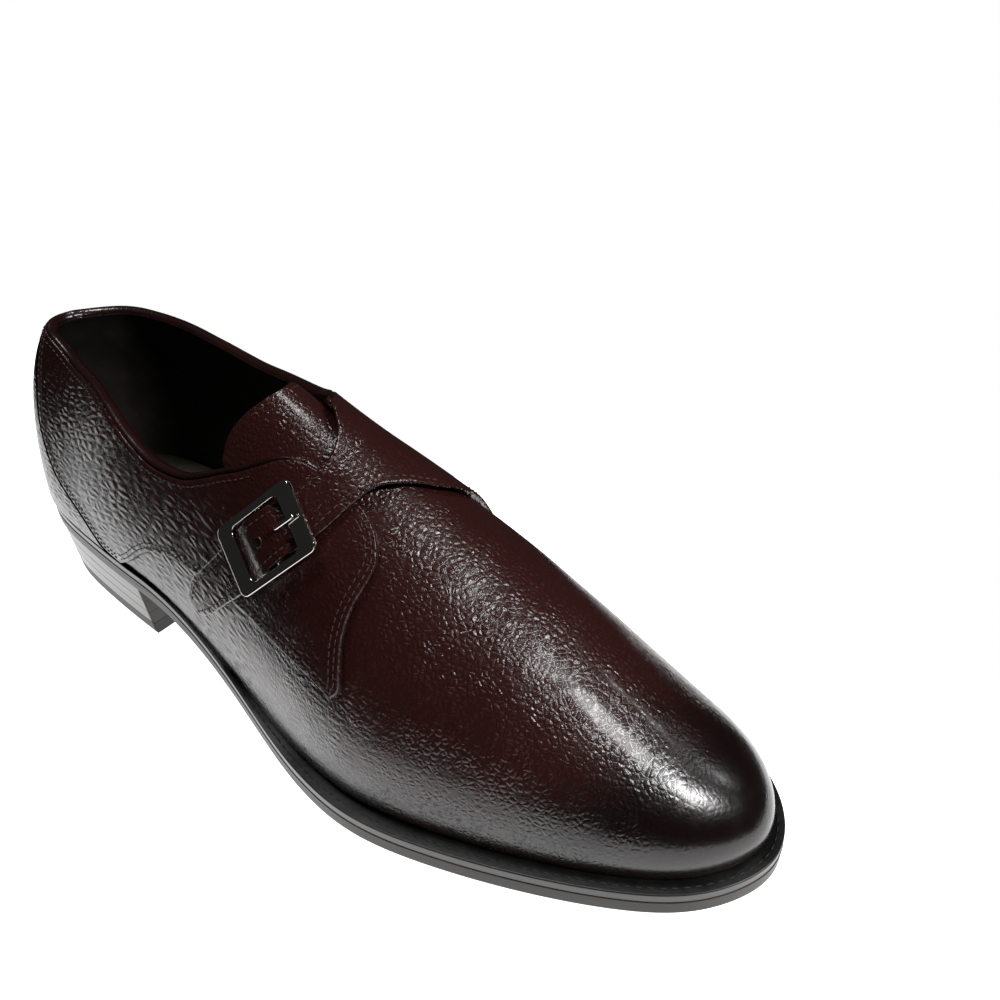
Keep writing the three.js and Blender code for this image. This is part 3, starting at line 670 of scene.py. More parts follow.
class Shader:
    """Short ways to build a node material."""

    def __init__(self, name: str) -> None:
        """Makes an empty material with its principled shader.

        Args:
            name: Name of the material.
        """
        self.material = bpy.data.materials.new(name)
        self.material.use_nodes = True
        self.tree = self.material.node_tree
        self.tree.nodes.clear()
        self.bsdf = self.node("ShaderNodeBsdfPrincipled")
        out = self.node("ShaderNodeOutputMaterial")
        self.link(self.bsdf.outputs["BSDF"], out.inputs["Surface"])

    def node(self, kind: str, **values: object) -> bpy.types.Node:
        """Adds a node and sets its properties.

        Args:
            kind: Type of the node.
            values: Its properties.

        Returns:
            The node.
        """
        made = self.tree.nodes.new(kind)
        for key, value in values.items():
            setattr(made, key, value)
        return made

    def link(self, source: bpy.types.NodeSocket, target: bpy.types.NodeSocket) -> None:
        """Joins two sockets."""
        self.tree.links.new(source, target)

    def feed(self, target: bpy.types.NodeSocket, value: object) -> None:
        """Links a socket to a value or to another socket.

        Args:
            target: The socket.
            value: A number, a colour or a socket.
        """
        if isinstance(value, bpy.types.NodeSocket):
            self.link(value, target)
        else:
            target.default_value = value

    def math(
        self, operation: str, a: object, b: object = 0.0, clamp: bool = False
    ) -> bpy.types.NodeSocket:
        """Adds a math node and returns its result.

        Args:
            operation: Name of the operation.
            a: First value.
            b: Second value.
            clamp: True to keep the result from 0 to 1.

        Returns:
            The result's socket.
        """
        made = self.node("ShaderNodeMath", operation=operation, use_clamp=clamp)
        self.feed(made.inputs[0], a)
        self.feed(made.inputs[1], b)
        return made.outputs[0]

    def spread(self, value: object, by: float) -> bpy.types.NodeSocket:
        """Moves a noise to lie round 0, and scales it."""
        return self.math("MULTIPLY", self.math("SUBTRACT", value, 0.5), by)

    def ramp(
        self, value: object, low: float, high: float, to_low: float = 0.0, to_high: float = 1.0
    ) -> object:
        """Maps a range smoothly to another.

        Args:
            value: What is mapped.
            low: Start of the range.
            high: Its end.
            to_low: What the start becomes.
            to_high: What the end becomes.

        Returns:
            The result's socket.
        """
        made = self.node("ShaderNodeMapRange", interpolation_type="SMOOTHSTEP")
        names = ("Value", "From Min", "From Max", "To Min", "To Max")
        for key, number in zip(names, (value, low, high, to_low, to_high)):
            self.feed(made.inputs[key], number)
        return made.outputs[0]

    def mix(self, share: object, first: object, second: object) -> bpy.types.NodeSocket:
        """Mixes two colours.

        Args:
            share: Share of the second.
            first: First colour.
            second: Second colour.

        Returns:
            The result's socket.
        """
        made = self.node("ShaderNodeMix", data_type="RGBA")
        # A colour mix has its share at socket 0, its colours at 6 and 7, and its result at 2.
        for socket, value in ((0, share), (6, first), (7, second)):
            self.feed(made.inputs[socket], value)
        return made.outputs[2]

    def mark(self, name: str) -> bpy.types.NodeSocket:
        """Reads a named value of the mesh."""
        return self.node("ShaderNodeAttribute", attribute_name=name).outputs["Fac"]

    def place(
        self, uv: bool = False, stretch: tuple = (1, 1, 1), turn: float = 0.0
    ) -> bpy.types.NodeSocket:
        """Place in the object or on its chart, stretched and turned.

        Args:
            uv: True for the chart.
            stretch: Scale on each axis.
            turn: Turn about the third axis, in radians.

        Returns:
            The place's socket.
        """
        source = self.node(
            "ShaderNodeUVMap", uv_map="chart"
        ) if uv else self.node("ShaderNodeTexCoord")
        mapping = self.node("ShaderNodeMapping", vector_type="TEXTURE" if uv else "POINT")
        mapping.inputs["Scale"].default_value = stretch
        mapping.inputs["Rotation"].default_value = (0, 0, turn)
        self.link(source.outputs["UV" if uv else "Object"], mapping.inputs["Vector"])
        return mapping.outputs[0]

    def noise(
        self, place: object, scale: float, detail: float = 3, rough: float = 0.5
    ) -> bpy.types.NodeSocket:
        """A noise pattern.

        Args:
            place: Where it is read.
            scale: Its scale.
            detail: Its octaves.
            rough: Weight of the fine ones.

        Returns:
            The result's socket.
        """
        made = self.node("ShaderNodeTexNoise")
        self.feed(made.inputs["Vector"], place)
        for key, number in (("Scale", scale), ("Detail", detail), ("Roughness", rough)):
            made.inputs[key].default_value = number
        return made.outputs["Fac"]

    def bump(
        self, height: object, strength: float, depth: float, below: object = None
    ) -> bpy.types.NodeSocket:
        """A bump of a depth in metres, over another one.

        Args:
            height: What is raised.
            strength: Share of the depth.
            depth: Depth in metres.
            below: Normal under it.

        Returns:
            The normal's socket.
        """
        made = self.node("ShaderNodeBump")
        self.feed(made.inputs["Strength"], strength)
        made.inputs["Distance"].default_value = depth
        self.feed(made.inputs["Height"], height)
        if below is not None:
            self.link(below, made.inputs["Normal"])
        return made.outputs[0]

    def warped(self, place: object, scale: float, by: float) -> bpy.types.NodeSocket:
        """A place that noise pushes about.

        Args:
            place: The place.
            scale: Scale of the noise.
            by: Reach in metres.

        Returns:
            The place's socket.
        """
        made = self.node("ShaderNodeTexNoise")
        self.feed(made.inputs["Vector"], place)
        made.inputs["Scale"].default_value = scale
        less = self.node("ShaderNodeVectorMath", operation="SUBTRACT")
        self.link(made.outputs["Color"], less.inputs[0])
        less.inputs[1].default_value = (0.5, 0.5, 0.5)
        push = self.node("ShaderNodeVectorMath", operation="SCALE")
        self.link(less.outputs[0], push.inputs[0])
        push.inputs["Scale"].default_value = by
        total = self.node("ShaderNodeVectorMath", operation="ADD")
        self.feed(total.inputs[0], place)
        self.link(push.outputs[0], total.inputs[1])
        return total.outputs[0]

    def pebbles(
        self, place: object, scale: float, valley: float, flat: bool = False
    ) -> bpy.types.NodeSocket:
        """Pebbles with narrow valleys between them, in the object's space or flat on the chart.

        Args:
            place: Where they are read.
            scale: Pebbles a metre.
            valley: Width of the valleys.
            flat: True for the chart.

        Returns:
            The height's socket.
        """
        made = self.node("ShaderNodeTexVoronoi", feature="DISTANCE_TO_EDGE",
                         voronoi_dimensions="2D" if flat else "3D")
        self.feed(made.inputs["Vector"], place)
        made.inputs["Scale"].default_value = scale
        return self.ramp(made.outputs["Distance"], 0.0, valley)


@dataclass(frozen=True)
class GrainLeather:
    """Pebble-grained calf: reddish brown on the crown, nearly black where it is polished."""

    name: str = "grain_leather"
    red: tuple = (0.031, 0.0072, 0.0061, 1)
    dark: tuple = (0.0046, 0.0018, 0.0016, 1)
    # Scale, octaves and roughness of the noises.
    cloud: tuple = (34, 4, 0.55)
    speck: tuple = (240, 3, 0.6)
    swell: tuple = (90, 2, 0.5)
    # Cells a metre and width of their valleys, then scale and reach of the noise that bends them.
    pebbles: float = 600.0
    ripples: float = 470.0
    fine_cells: float = 2.4
    pebble_valley: float = 0.38
    fine_valley: float = 0.4
    ripple_valley: float = 0.5
    pebble_warp: tuple = (170, 0.0016)
    fine_warp: tuple = (420, 0.0006)
    ripple_warp: tuple = (150, 0.0018)
    ripple_gain: float = 1.3
    stretch: tuple = (2.9, 0.9, 1)
    turn: float = 0.1
    # Depths in metres, and the share of the fine grain in the relief.
    depth: float = 0.00016
    swell_depth: float = 0.0006
    fine: float = 0.16
    # How much clouds and specks stain, valleys get painted shade, and polish smooths and glosses.
    cloud_stain: float = 0.8
    speck_stain: float = 0.3
    valley_shade: float = 0.3
    polish_smooth: float = 0.9
    polish_gloss: float = 0.04
    uneven: float = 0.16
    roughness: float = 0.285
    gloss: float = 0.4
    coat: float = 0.12
    coat_roughness: float = 0.14

    def make(self) -> bpy.types.Material:
        """Builds the material.

        Returns:
            The material.
        """
        s = Shader(self.name)
        place = s.place()
        burnish_and_shade, polish, crease = (s.mark(mark) for mark in ("burnish_and_shade", "polish", "crease"))
        cloud, speck = (s.noise(place, *noise) for noise in (self.cloud, self.speck))
        # The burnish mark also brings in the painted shadow on the panels' edges.
        stain_and_shade = s.math("ADD", burnish_and_shade, s.spread(cloud, self.cloud_stain))
        stain_and_shade = s.math("ADD", stain_and_shade, s.spread(speck, self.speck_stain))
        pebble = s.pebbles(s.warped(place, *self.pebble_warp), self.pebbles, self.pebble_valley)
        fine = s.pebbles(
            s.warped(place, *self.fine_warp), self.pebbles * self.fine_cells, self.fine_valley)
        chart = s.place(uv=True, stretch=self.stretch, turn=self.turn)
        ripple = s.pebbles(
            s.warped(chart, *self.ripple_warp), self.ripples, self.ripple_valley, flat=True)
        swell = s.noise(place, *self.swell)
        pebble = s.math("MULTIPLY", pebble, s.math("SUBTRACT", 1.0, crease))
        ripple = s.math("MULTIPLY", ripple, s.math("MULTIPLY", crease, self.ripple_gain))
        coarse = s.math("ADD", pebble, ripple)
        coarse = s.math("MULTIPLY", coarse, s.ramp(swell, 0.25, 0.7, 0.4, 1.15))
        body = s.mix(s.ramp(stain_and_shade, 0.05, 0.95), self.red, self.dark)
        # The grain's valleys are painted darker, as shade in them.
        valley = s.math("SUBTRACT", 1.0, coarse, clamp=True)
        valley = s.math("MULTIPLY", valley, self.valley_shade)
        s.link(s.mix(valley, body, self.dark), s.bsdf.inputs["Base Color"])
        relief = s.math("ADD", coarse, s.math("MULTIPLY", fine, self.fine))
        unpolished = s.math("SUBTRACT", 1.0, s.math("MULTIPLY", polish, self.polish_smooth))
        relief = s.math("MULTIPLY", relief, unpolished)
        under = s.bump(swell, 0.25, self.swell_depth)
        s.link(s.bump(relief, 1.0, self.depth, under), s.bsdf.inputs["Normal"])
        rough = s.math("ADD", self.roughness, s.spread(speck, self.uneven))
        rough = s.math("SUBTRACT", rough, s.math("MULTIPLY", polish, self.polish_gloss))
        s.link(rough, s.bsdf.inputs["Roughness"])
        s.bsdf.inputs["Specular IOR Level"].default_value = self.gloss
        s.bsdf.inputs["Coat Weight"].default_value = self.coat
        s.bsdf.inputs["Coat Roughness"].default_value = self.coat_roughness
        return s.material


@dataclass(frozen=True)
class PlainFinish:
    """A finish of two close colours with a fine relief."""

    name: str
    first: tuple
    second: tuple
    roughness: float
    scale: float
    depth: float
    stretch: tuple = (1, 1, 1)
    metallic: float = 0.0
    coat: float = 0.0
    gloss: float = 0.5
    coat_roughness: float = 0.2
    uneven: float = 0.6
    relief_scale: float = 4.0

    def make(self) -> bpy.types.Material:
        """Builds the material.

        Returns:
            The material.
        """
        s = Shader(self.name)
        place = s.place(stretch=self.stretch)
        cloud = s.noise(place, self.scale, 4, 0.6)
        s.link(s.mix(s.ramp(cloud, 0.3, 0.7), self.first, self.second), s.bsdf.inputs["Base Color"])
        rough = s.math("ADD", self.roughness, s.spread(cloud, self.roughness * self.uneven))
        s.link(rough, s.bsdf.inputs["Roughness"])
        relief = s.noise(place, self.scale * self.relief_scale, 3, 0.6)
        s.link(s.bump(relief, 0.6, self.depth), s.bsdf.inputs["Normal"])
        s.bsdf.inputs["Metallic"].default_value = self.metallic
        s.bsdf.inputs["Specular IOR Level"].default_value = self.gloss
        s.bsdf.inputs["Coat Weight"].default_value = self.coat
        s.bsdf.inputs["Coat Roughness"].default_value = self.coat_roughness
        return s.material


ALONG_EDGE = (0.4, 0.4, 5)
ALONG_STACK = (0.4, 0.4, 6)
PLAIN_FINISHES = {
    "lining": PlainFinish(
        "lining_leather", (0.006, 0.0045, 0.004, 1), (0.014, 0.010, 0.008, 1), 0.62, 90, 0.00008),
    "sock": PlainFinish(
        "sock_leather", (0.018, 0.0145, 0.008, 1), (0.028, 0.022, 0.013, 1), 0.6, 70, 0.00008),
    "welt": PlainFinish(
        "welt_leather", (0.003, 0.0028, 0.0028, 1), (0.006, 0.0055, 0.005, 1), 0.4, 160, 0.0001),
    "edge": PlainFinish(
        "edge_wax", (0.010, 0.009, 0.0087, 1), (0.015, 0.0135, 0.013, 1), 0.3, 60, 0.00004,
        ALONG_EDGE, gloss=0.42),
    "side": PlainFinish(
        "sole_edge_wax", (0.008, 0.0062, 0.0055, 1), (0.012, 0.0094, 0.0082, 1), 0.4, 60, 0.00005,
        ALONG_EDGE, gloss=0.2),
    "tread": PlainFinish(
        "tread_leather", (0.035, 0.018, 0.010, 1), (0.06, 0.032, 0.018, 1), 0.45, 60, 0.0001),
    "stack": PlainFinish(
        "stack_edge", (0.016, 0.0125, 0.011, 1), (0.024, 0.019, 0.017, 1), 0.3, 50, 0.00005,
        ALONG_STACK, coat=0.2, gloss=0.4),
    "rubber": PlainFinish(
        "top_piece_rubber", (0.012, 0.011, 0.011, 1), (0.018, 0.017, 0.016, 1), 0.55, 300, 0.00005),
    "nickel": PlainFinish(
        "polished_nickel", (0.62, 0.6, 0.57, 1), (0.66, 0.64, 0.61, 1), 0.07, 40, 0.00001,
        metallic=1),
    "thread": PlainFinish(
        "dark_thread", (0.028, 0.014, 0.011, 1), (0.05, 0.025, 0.02, 1), 0.55, 900, 0.00005),
    "pale_thread": PlainFinish(
        "welt_thread", (0.006, 0.0055, 0.005, 1), (0.012, 0.011, 0.010, 1), 0.6, 900, 0.00005),
}


@dataclass
class Finishes:
    """All finishes of the shoe."""

    leather: bpy.types.Material
    lining: bpy.types.Material
    sock: bpy.types.Material
    welt: bpy.types.Material
    edge: bpy.types.Material
    side: bpy.types.Material
    tread: bpy.types.Material
    stack: bpy.types.Material
    rubber: bpy.types.Material
    nickel: bpy.types.Material
    thread: bpy.types.Material
    pale_thread: bpy.types.Material

    @classmethod
    def make(cls) -> Finishes:
        """Builds all finishes.

        Returns:
            The finishes.
        """
        leather = GrainLeather().make()
        plain = {name: finish.make() for name, finish in PLAIN_FINISHES.items()}
        return cls(leather=leather, **plain)


# Where each zone of the leather starts, and the way over which it fades in. Toe, heel, tip, rear,
# ball and front are shares of the length, feather and foot millimetres over the feather edge, and
# low, side and under girths.
ZONES = {
    "toe": (0.79, 0.17), "heel": (0.24, -0.22), "tip": (0.84, 0.11), "rear": (0.56, -0.1),
    "ball": (0.5, 0.06), "front": (0.74, -0.1), "feather": (30, -28), "foot": (11, -9),
    "low": (0.3, 0.4), "side": (0.33, 0.15), "under": (0.45, 0.2),
}


def zone(name: str, value: Array) -> Array:
    """How far values lie in a zone, from 0 to 1.

    Args:
        name: Name of the zone.
        value: What it is read by.

    Returns:
        The shares.
    """
    start, way = ZONES[name]
    return smooth((value - start) / way)


def chart_marks(chart: Array) -> dict[str, Array]:
    """The named values that the leather reads, for a flat list of chart points.

    Args:
        chart: Chart points, n by 2.

    Returns:
        How dark the leather is stained, how smooth it is polished and how much it is rippled.
    """
    point = LAST.surface(chart[:, 0], chart[:, 1])
    x = point[:, 0] / LAST.length
    rise = point[:, 2] - LAST.seat(point[:, 0])
    side = np.abs(chart[:, 1])
    low = zone("low", side)
    burnish_and_shade = 0.08 + 0.9 * zone("toe", x) + 0.6 * zone("feather", rise) * low
    burnish_and_shade += 0.4 * zone("heel", x) + 0.25 * low
    polish = zone("tip", x) + 0.6 * zone("foot", rise) * low
    quarter = zone("rear", x) * zone("side", side)
    vamp = 0.45 * zone("ball", x) * zone("front", x) * zone("under", side)
    marks = {"burnish_and_shade": burnish_and_shade, "polish": polish, "crease": quarter + vamp}
    return {name: np.clip(values, 0, 1) for name, values in marks.items()}


def chart_uv(chart: Array) -> Array:
    """Texture places in metres along and round the last.

    Args:
        chart: Chart points.

    Returns:
        The places.
    """
    along = LAST.along(np.clip(np.abs(chart[..., 0]), 0, 1))
    return np.stack([along * LAST.length, chart[..., 1] * LAST.cone], -1) * METRES


@dataclass
class Upper:
    """The vamp, the sides under the panels, and the lining, in one wall."""

    wall: float = LAST.wall
    rows: int = 44
    open_columns: int = 90
    front_columns: int = 110
    fold_fade: float = 0.35
    wave: float = 0.006
    wave_rate: float = 7.0
    # Soft folds across the vamp: station at the ridge, lean, reach in girth, depth, then width
    # in stations.
    folds: tuple = (
        (0.650, 0.03, 0.75, 0.16, 0.014), (0.680, 0.045, 0.6, -0.12, 0.013),
        (0.712, 0.05, 0.7, 0.14, 0.014), (0.622, 0.02, 0.6, -0.08, 0.011),
    )

    def fold_lift(self, chart: Array) -> Array:
        """Height of the soft folds.

        Args:
            chart: Chart points.

        Returns:
            Lifts in millimetres.
        """
        s, g = chart[..., 0], chart[..., 1]
        lift = np.zeros_like(s)
        for station, lean, reach, depth, width in self.folds:
            line = station + lean * g * g + self.wave * np.sin(self.wave_rate * g)
            fade = smooth((reach - np.abs(g)) / self.fold_fade)
            lift -= depth * fade * np.exp(-(((s - line) / width) ** 2))
        return lift

    def half(self, side: Side) -> Array:
        """Chart points of one side, by columns from the heel to the toe.

        Args:
            side: The side.

        Returns:
            An array of columns by rows by 2.
        """
        collar, throat = {
            Side.LATERAL: (Pattern.collar_lateral, Pattern.throat_lateral),
            Side.MEDIAL: (Pattern.collar_medial, Pattern.throat_medial),
        }[side]
        rim = Line([*collar, *throat[:-1]])(close_at_ends(self.open_columns, 0.5, 0.0))
        rim = np.concatenate([rim, [throat[-1]]])
        front = throat[-1][0] + shares(self.front_columns)[1:] * (1 - throat[-1][0])
        station = np.concatenate([rim[:, 0], front])
        top = np.concatenate([np.abs(rim[:, 1]), np.zeros(self.front_columns)])
        v = shares(self.rows)[None]
        girth = side.value * (1 - v * (1 - top[:, None]))
        return np.stack([np.broadcast_to(station[:, None], girth.shape), girth], -1)

    def build(self, finish: Finishes) -> bpy.types.Object:
        """Builds the wall and dresses it.

        Args:
            finish: Finishes.

        Returns:
            The piece.
        """
        points, faces, charts = [], [], []
        start = 0
        for side in Side:
            chart = self.half(side)
            columns, rows = chart.shape[:2]
            for inner in (False, True):
                lift = np.full(chart.shape[:2], -self.wall) if inner else self.fold_lift(chart)
                points.append(LAST.place(chart, lift).reshape(-1, 3))
                charts.append(chart.reshape(-1, 2))
                faces += grid_faces(columns, rows, start + inner * columns * rows, turned=inner)
            shift = columns * rows
            # The wall closes along the feather edge and, as far as the upper is open, its rim.
            for row, count in ((0, columns), (rows - 1, self.open_columns + 2)):
                for i in range(count - 1):
                    a, b = start + i * rows + row, start + (i + 1) * rows + row
                    faces.append([a, b, b + shift, a + shift])
            start += 2 * shift
        chart = np.concatenate(charts)
        marks = chart_marks(chart)
        marks["lining"] = np.concatenate(
            [np.full(len(c), float(k % 2)) for k, c in enumerate(charts)])
        upper = make_mesh(
            "leather_upper", np.concatenate(points), faces, chart_uv(chart), **marks)
        tidy_mesh(upper)
        upper.data.materials.append(finish.leather)
        upper.data.materials.append(finish.lining)
        inside = np.zeros(len(upper.data.vertices), dtype=np.float32)
        upper.data.attributes["lining"].data.foreach_get("value", inside)
        for face in upper.data.polygons:
            face.material_index = int(min(inside[v] for v in face.vertices) > 0.5)
        ride(upper, "upper_leather", "upper")
        return upper


def edge_profile(points: Array, rim: Array, radius: float) -> Array:
    """How far a rounded edge has risen: 0 on the rim and 1 from the radius on.

    Args:
        points: Points of a panel, n by 3.
        rim: Points along its edge, m by 3.
        radius: Width of the rounding.

    Returns:
        The shares, n.
    """
    nearest = np.full(len(points), 1e9)
    for block in np.array_split(rim, max(1, len(rim) // 200)):
        reach = np.linalg.norm(points[:, None] - block[None], axis=-1)
        nearest = np.minimum(nearest, reach.min(axis=1))
    return np.sqrt(np.clip(1 - (1 - np.clip(nearest / radius, 0, 1)) ** 2, 0, 1))


@dataclass
class Layer:
    """One field of a panel.

    It holds chart points, the lifts of its two faces, and where between them its edge lies.
    """

    chart: Array
    low: Array
    high: Array
    seam: Array

    @classmethod
    def of(
        cls, chart: Array, low: Array | float, high: Array | float, seam: Array | float
    ) -> Layer:
        """Makes a layer, with plain numbers spread over its points.

        Args:
            chart: Chart points.
            low: Lift of the underside.
            high: Lift of the outer face.
            seam: Share of the way up at which the edge lies.

        Returns:
            The layer.
        """
        return cls(
            chart,
            *(np.broadcast_to(np.asarray(v, float), chart.shape[:2]) for v in (low, high, seam))
        )


@dataclass
class Panel:
    """A piece of leather that lies on the last, with rounded edges and two sides."""

    name: str
    node: str
    layers: list[Layer]
    rim: list
    radius: float = 0.7
    rim_steps: int = 500
    edge_stain_and_shade: float = 0.9
    edge_polish: float = 0.4

    def build(self, finish: Finishes) -> bpy.types.Object:
        """Builds the panel and dresses it.

        Args:
            finish: Finishes.

        Returns:
            The piece.
        """
        rim = np.concatenate([LAST.place(line(shares(self.rim_steps)), 0.0) for line in self.rim])
        points, charts, faces, edges = [], [], [], []
        start = 0
        for layer in self.layers:
            chart = layer.chart.reshape(-1, 2)
            low, high, seam = (v.reshape(-1) for v in (layer.low, layer.high, layer.seam))
            risen = edge_profile(LAST.place(chart, 0.0), rim, self.radius)
            middle = low + seam * (high - low)
            for face in (high, low):
                points.append(LAST.place(chart, middle + (face - middle) * risen))
                charts.append(chart)
                edges.append(risen)
                faces += grid_faces(*layer.chart.shape[:2], start, turned=face is low)
                start += len(chart)
        chart = np.concatenate(charts)
        marks = chart_marks(chart)
        # The rounded edge is darkened: partly the leather's dark edge, partly painted shadow along
        # it.
        edge = 1 - np.concatenate(edges)
        marks["burnish_and_shade"] = np.clip(marks["burnish_and_shade"] + self.edge_stain_and_shade * edge, 0, 1)
        marks["polish"] = np.maximum(marks["polish"], self.edge_polish * edge)
        piece = make_mesh(self.name, np.concatenate(points), faces, chart_uv(chart), **marks)
        tidy_mesh(piece, reach=1e-5)
        piece.data.materials.append(finish.leather)
        ride(piece, "upper_leather", self.node)
        return piece


@dataclass
class Uppers:
    """Sizes that the panels, the strap and the buckle share, and the panels themselves."""

    panel_gap: float = 0.75
    panel_thick: float = 1.3
    strap_thick: float = 1.5
    surface_gap: float = 0.35
    tongue_thick: float = 1.6
    wall: float = LAST.wall
    pin: float = 1.3
    buckle_long: float = 31.0
    end_bar: float = 5.6
    sunk: float = -0.9
    seam: float = 0.2

    @property
    def pile(self) -> float:
        """Underside of what lies on a quarter."""
        return self.panel_gap + self.panel_thick + self.surface_gap

    @property
    def top(self) -> float:
        """Outer face of the panels."""
        return self.panel_gap + self.panel_thick

    def sewn(self, chart: Array) -> Layer:
        """A layer that is sewn down on the upper all round."""
        return Layer.of(chart, self.sunk, self.top, self.seam)

    def strap_lifts(self, chart: Array, share: Array, buckle: Buckle) -> tuple[Array, Array, Array]:
        """Lifts of the strap, which is sewn to the quarter at its base and passes over the bar.

        Args:
            chart: Chart points.
            share: Share of the way from the base to the tip.
            buckle: The buckle that it goes through.

        Returns:
            Lifts of the underside and of the outer face, and how free the strap is.
        """
        crown, climb = 0.1, 0.28  # girths at which the strap climbs on to the lateral quarter
        flat, slope = 0.92, 0.6  # shares of the frame's window for the arch over the bar
        root = 0.1  # share of the strap over which it comes free of the quarter
        on_quarter = smooth((crown - chart[..., 1]) / climb)
        reach = self.buckle_long / 2 - self.end_bar
        along = (LAST.place(chart, 0.0) - buckle.middle) @ buckle.along
        arch = smooth((flat * reach - np.abs(along)) / (slope * reach))
        under = self.panel_gap + (self.pile - self.panel_gap) * on_quarter
        under = under + (self.pin + self.surface_gap) * arch
        free = smooth(share / root)
        high = (under + self.strap_thick) * free + self.top * (1 - free)
        return under * free + self.sunk * (1 - free), high, free

    def lateral(self) -> Panel:
        """The lateral quarter, which carries the buckle.

        Returns:
            The panel.
        """
        p = Pattern
        seam = p.counter_seam[::-1]
        collar = p.dropped(p.collar_lateral[4:], Side.LATERAL)
        high = Line([seam[0], *collar, (0.545, -0.205), p.facing_lateral[-1]])
        low, left, right = Line(p.quarter_seam), Line(p.counter_seam), Line(p.facing_lateral)
        chart = patch(low, high, left, right, close_at_ends(120), close_at_ends(60))
        return Panel(
            "lateral_quarter", "quarter_lateral", [self.sewn(chart)], [low, high, left, right]
        )

    def medial(self, buckle: Buckle) -> Panel:
        """The medial quarter, which runs on as the strap.

        Args:
            buckle: The buckle that the strap goes through.

        Returns:
            The panel.
        """
        p = Pattern
        seam = p.mirrored(p.counter_seam[::-1])
        joint = 0.8
        columns = np.concatenate([
            close_at_ends(90, 0.92, 0.5) * joint, joint + close_at_ends(30)[1:] * (1 - joint),
        ])
        collar = Line([seam[0], *p.dropped(p.collar_medial[3:-1], Side.MEDIAL), p.strap_base[0]])
        base = Line(p.strap_base)
        low, left = Line(p.mirrored(p.quarter_seam)), Line(p.mirrored(p.counter_seam))
        right = Line(p.facing_medial)
        quarter = patch(
            low, Chain([collar, base], [joint, 1]), left, right, columns, close_at_ends(60)
        )
        rear, front = Line(p.strap_rear), Line(p.strap_front)
        tip = Line([p.strap_rear[-1], (0.447, -0.847), p.strap_front[-1]])
        rows = close_at_ends(170, 0.0, 0.6)
        strap = patch(base, tip, rear, front, close_at_ends(30), rows)
        under, over, free = self.strap_lifts(strap, rows[None], buckle)
        seam = self.seam + (0.5 - self.seam) * free
        layers = [self.sewn(quarter), Layer.of(strap, under, over, seam)]
        return Panel("medial_quarter_and_strap", "quarter_medial_strap", layers,
                     [low, collar, left, right, rear, front, tip])

    def counter(self) -> Panel:
        """The heel counter, round the back from seam to seam.

        Returns:
            The panel.
        """
        p = Pattern
        gap = 0.0022  # stations between the counter and the quarters
        left = Line([(s - gap, g) for s, g in p.counter_seam])
        right = Line([(-s + gap, g) for s, g in p.counter_seam])
        ends = (left(np.array(1.0)), right(np.array(1.0)))
        high = Line(
            [tuple(ends[0]), (0.035, -0.367), (0, -0.369), (-0.035, -0.369), tuple(ends[1])]
        )
        first = p.counter_seam[0][0] - gap

        def low(share: Array) -> Array:
            """The feather edge round the heel."""
            share = np.asarray(share, float)
            return np.stack([first - 2 * first * share, np.full_like(share, -SEAT)], -1)

        chart = patch(low, high, left, right, close_at_ends(110), close_at_ends(60))
        return Panel("counter_panel", "heel_counter", [self.sewn(chart)], [low, high, left, right])

    def tongue(self) -> Panel:
        """The tongue under the strap and the vamp.

        Returns:
            The panel.
        """
        p = Pattern
        low, high = Line(p.tongue_lateral), Line(p.tongue_medial)
        left, right = Line(p.tongue_rear), Line(p.tongue_front)
        chart = patch(low, high, left, right, close_at_ends(60), close_at_ends(60))
        base = -self.wall - 1.5 * self.panel_gap - self.tongue_thick
        layer = Layer.of(chart, base, base + self.tongue_thick, 0.5)
        return Panel("tongue_flap", "tongue", [layer], [low, high, left, right])


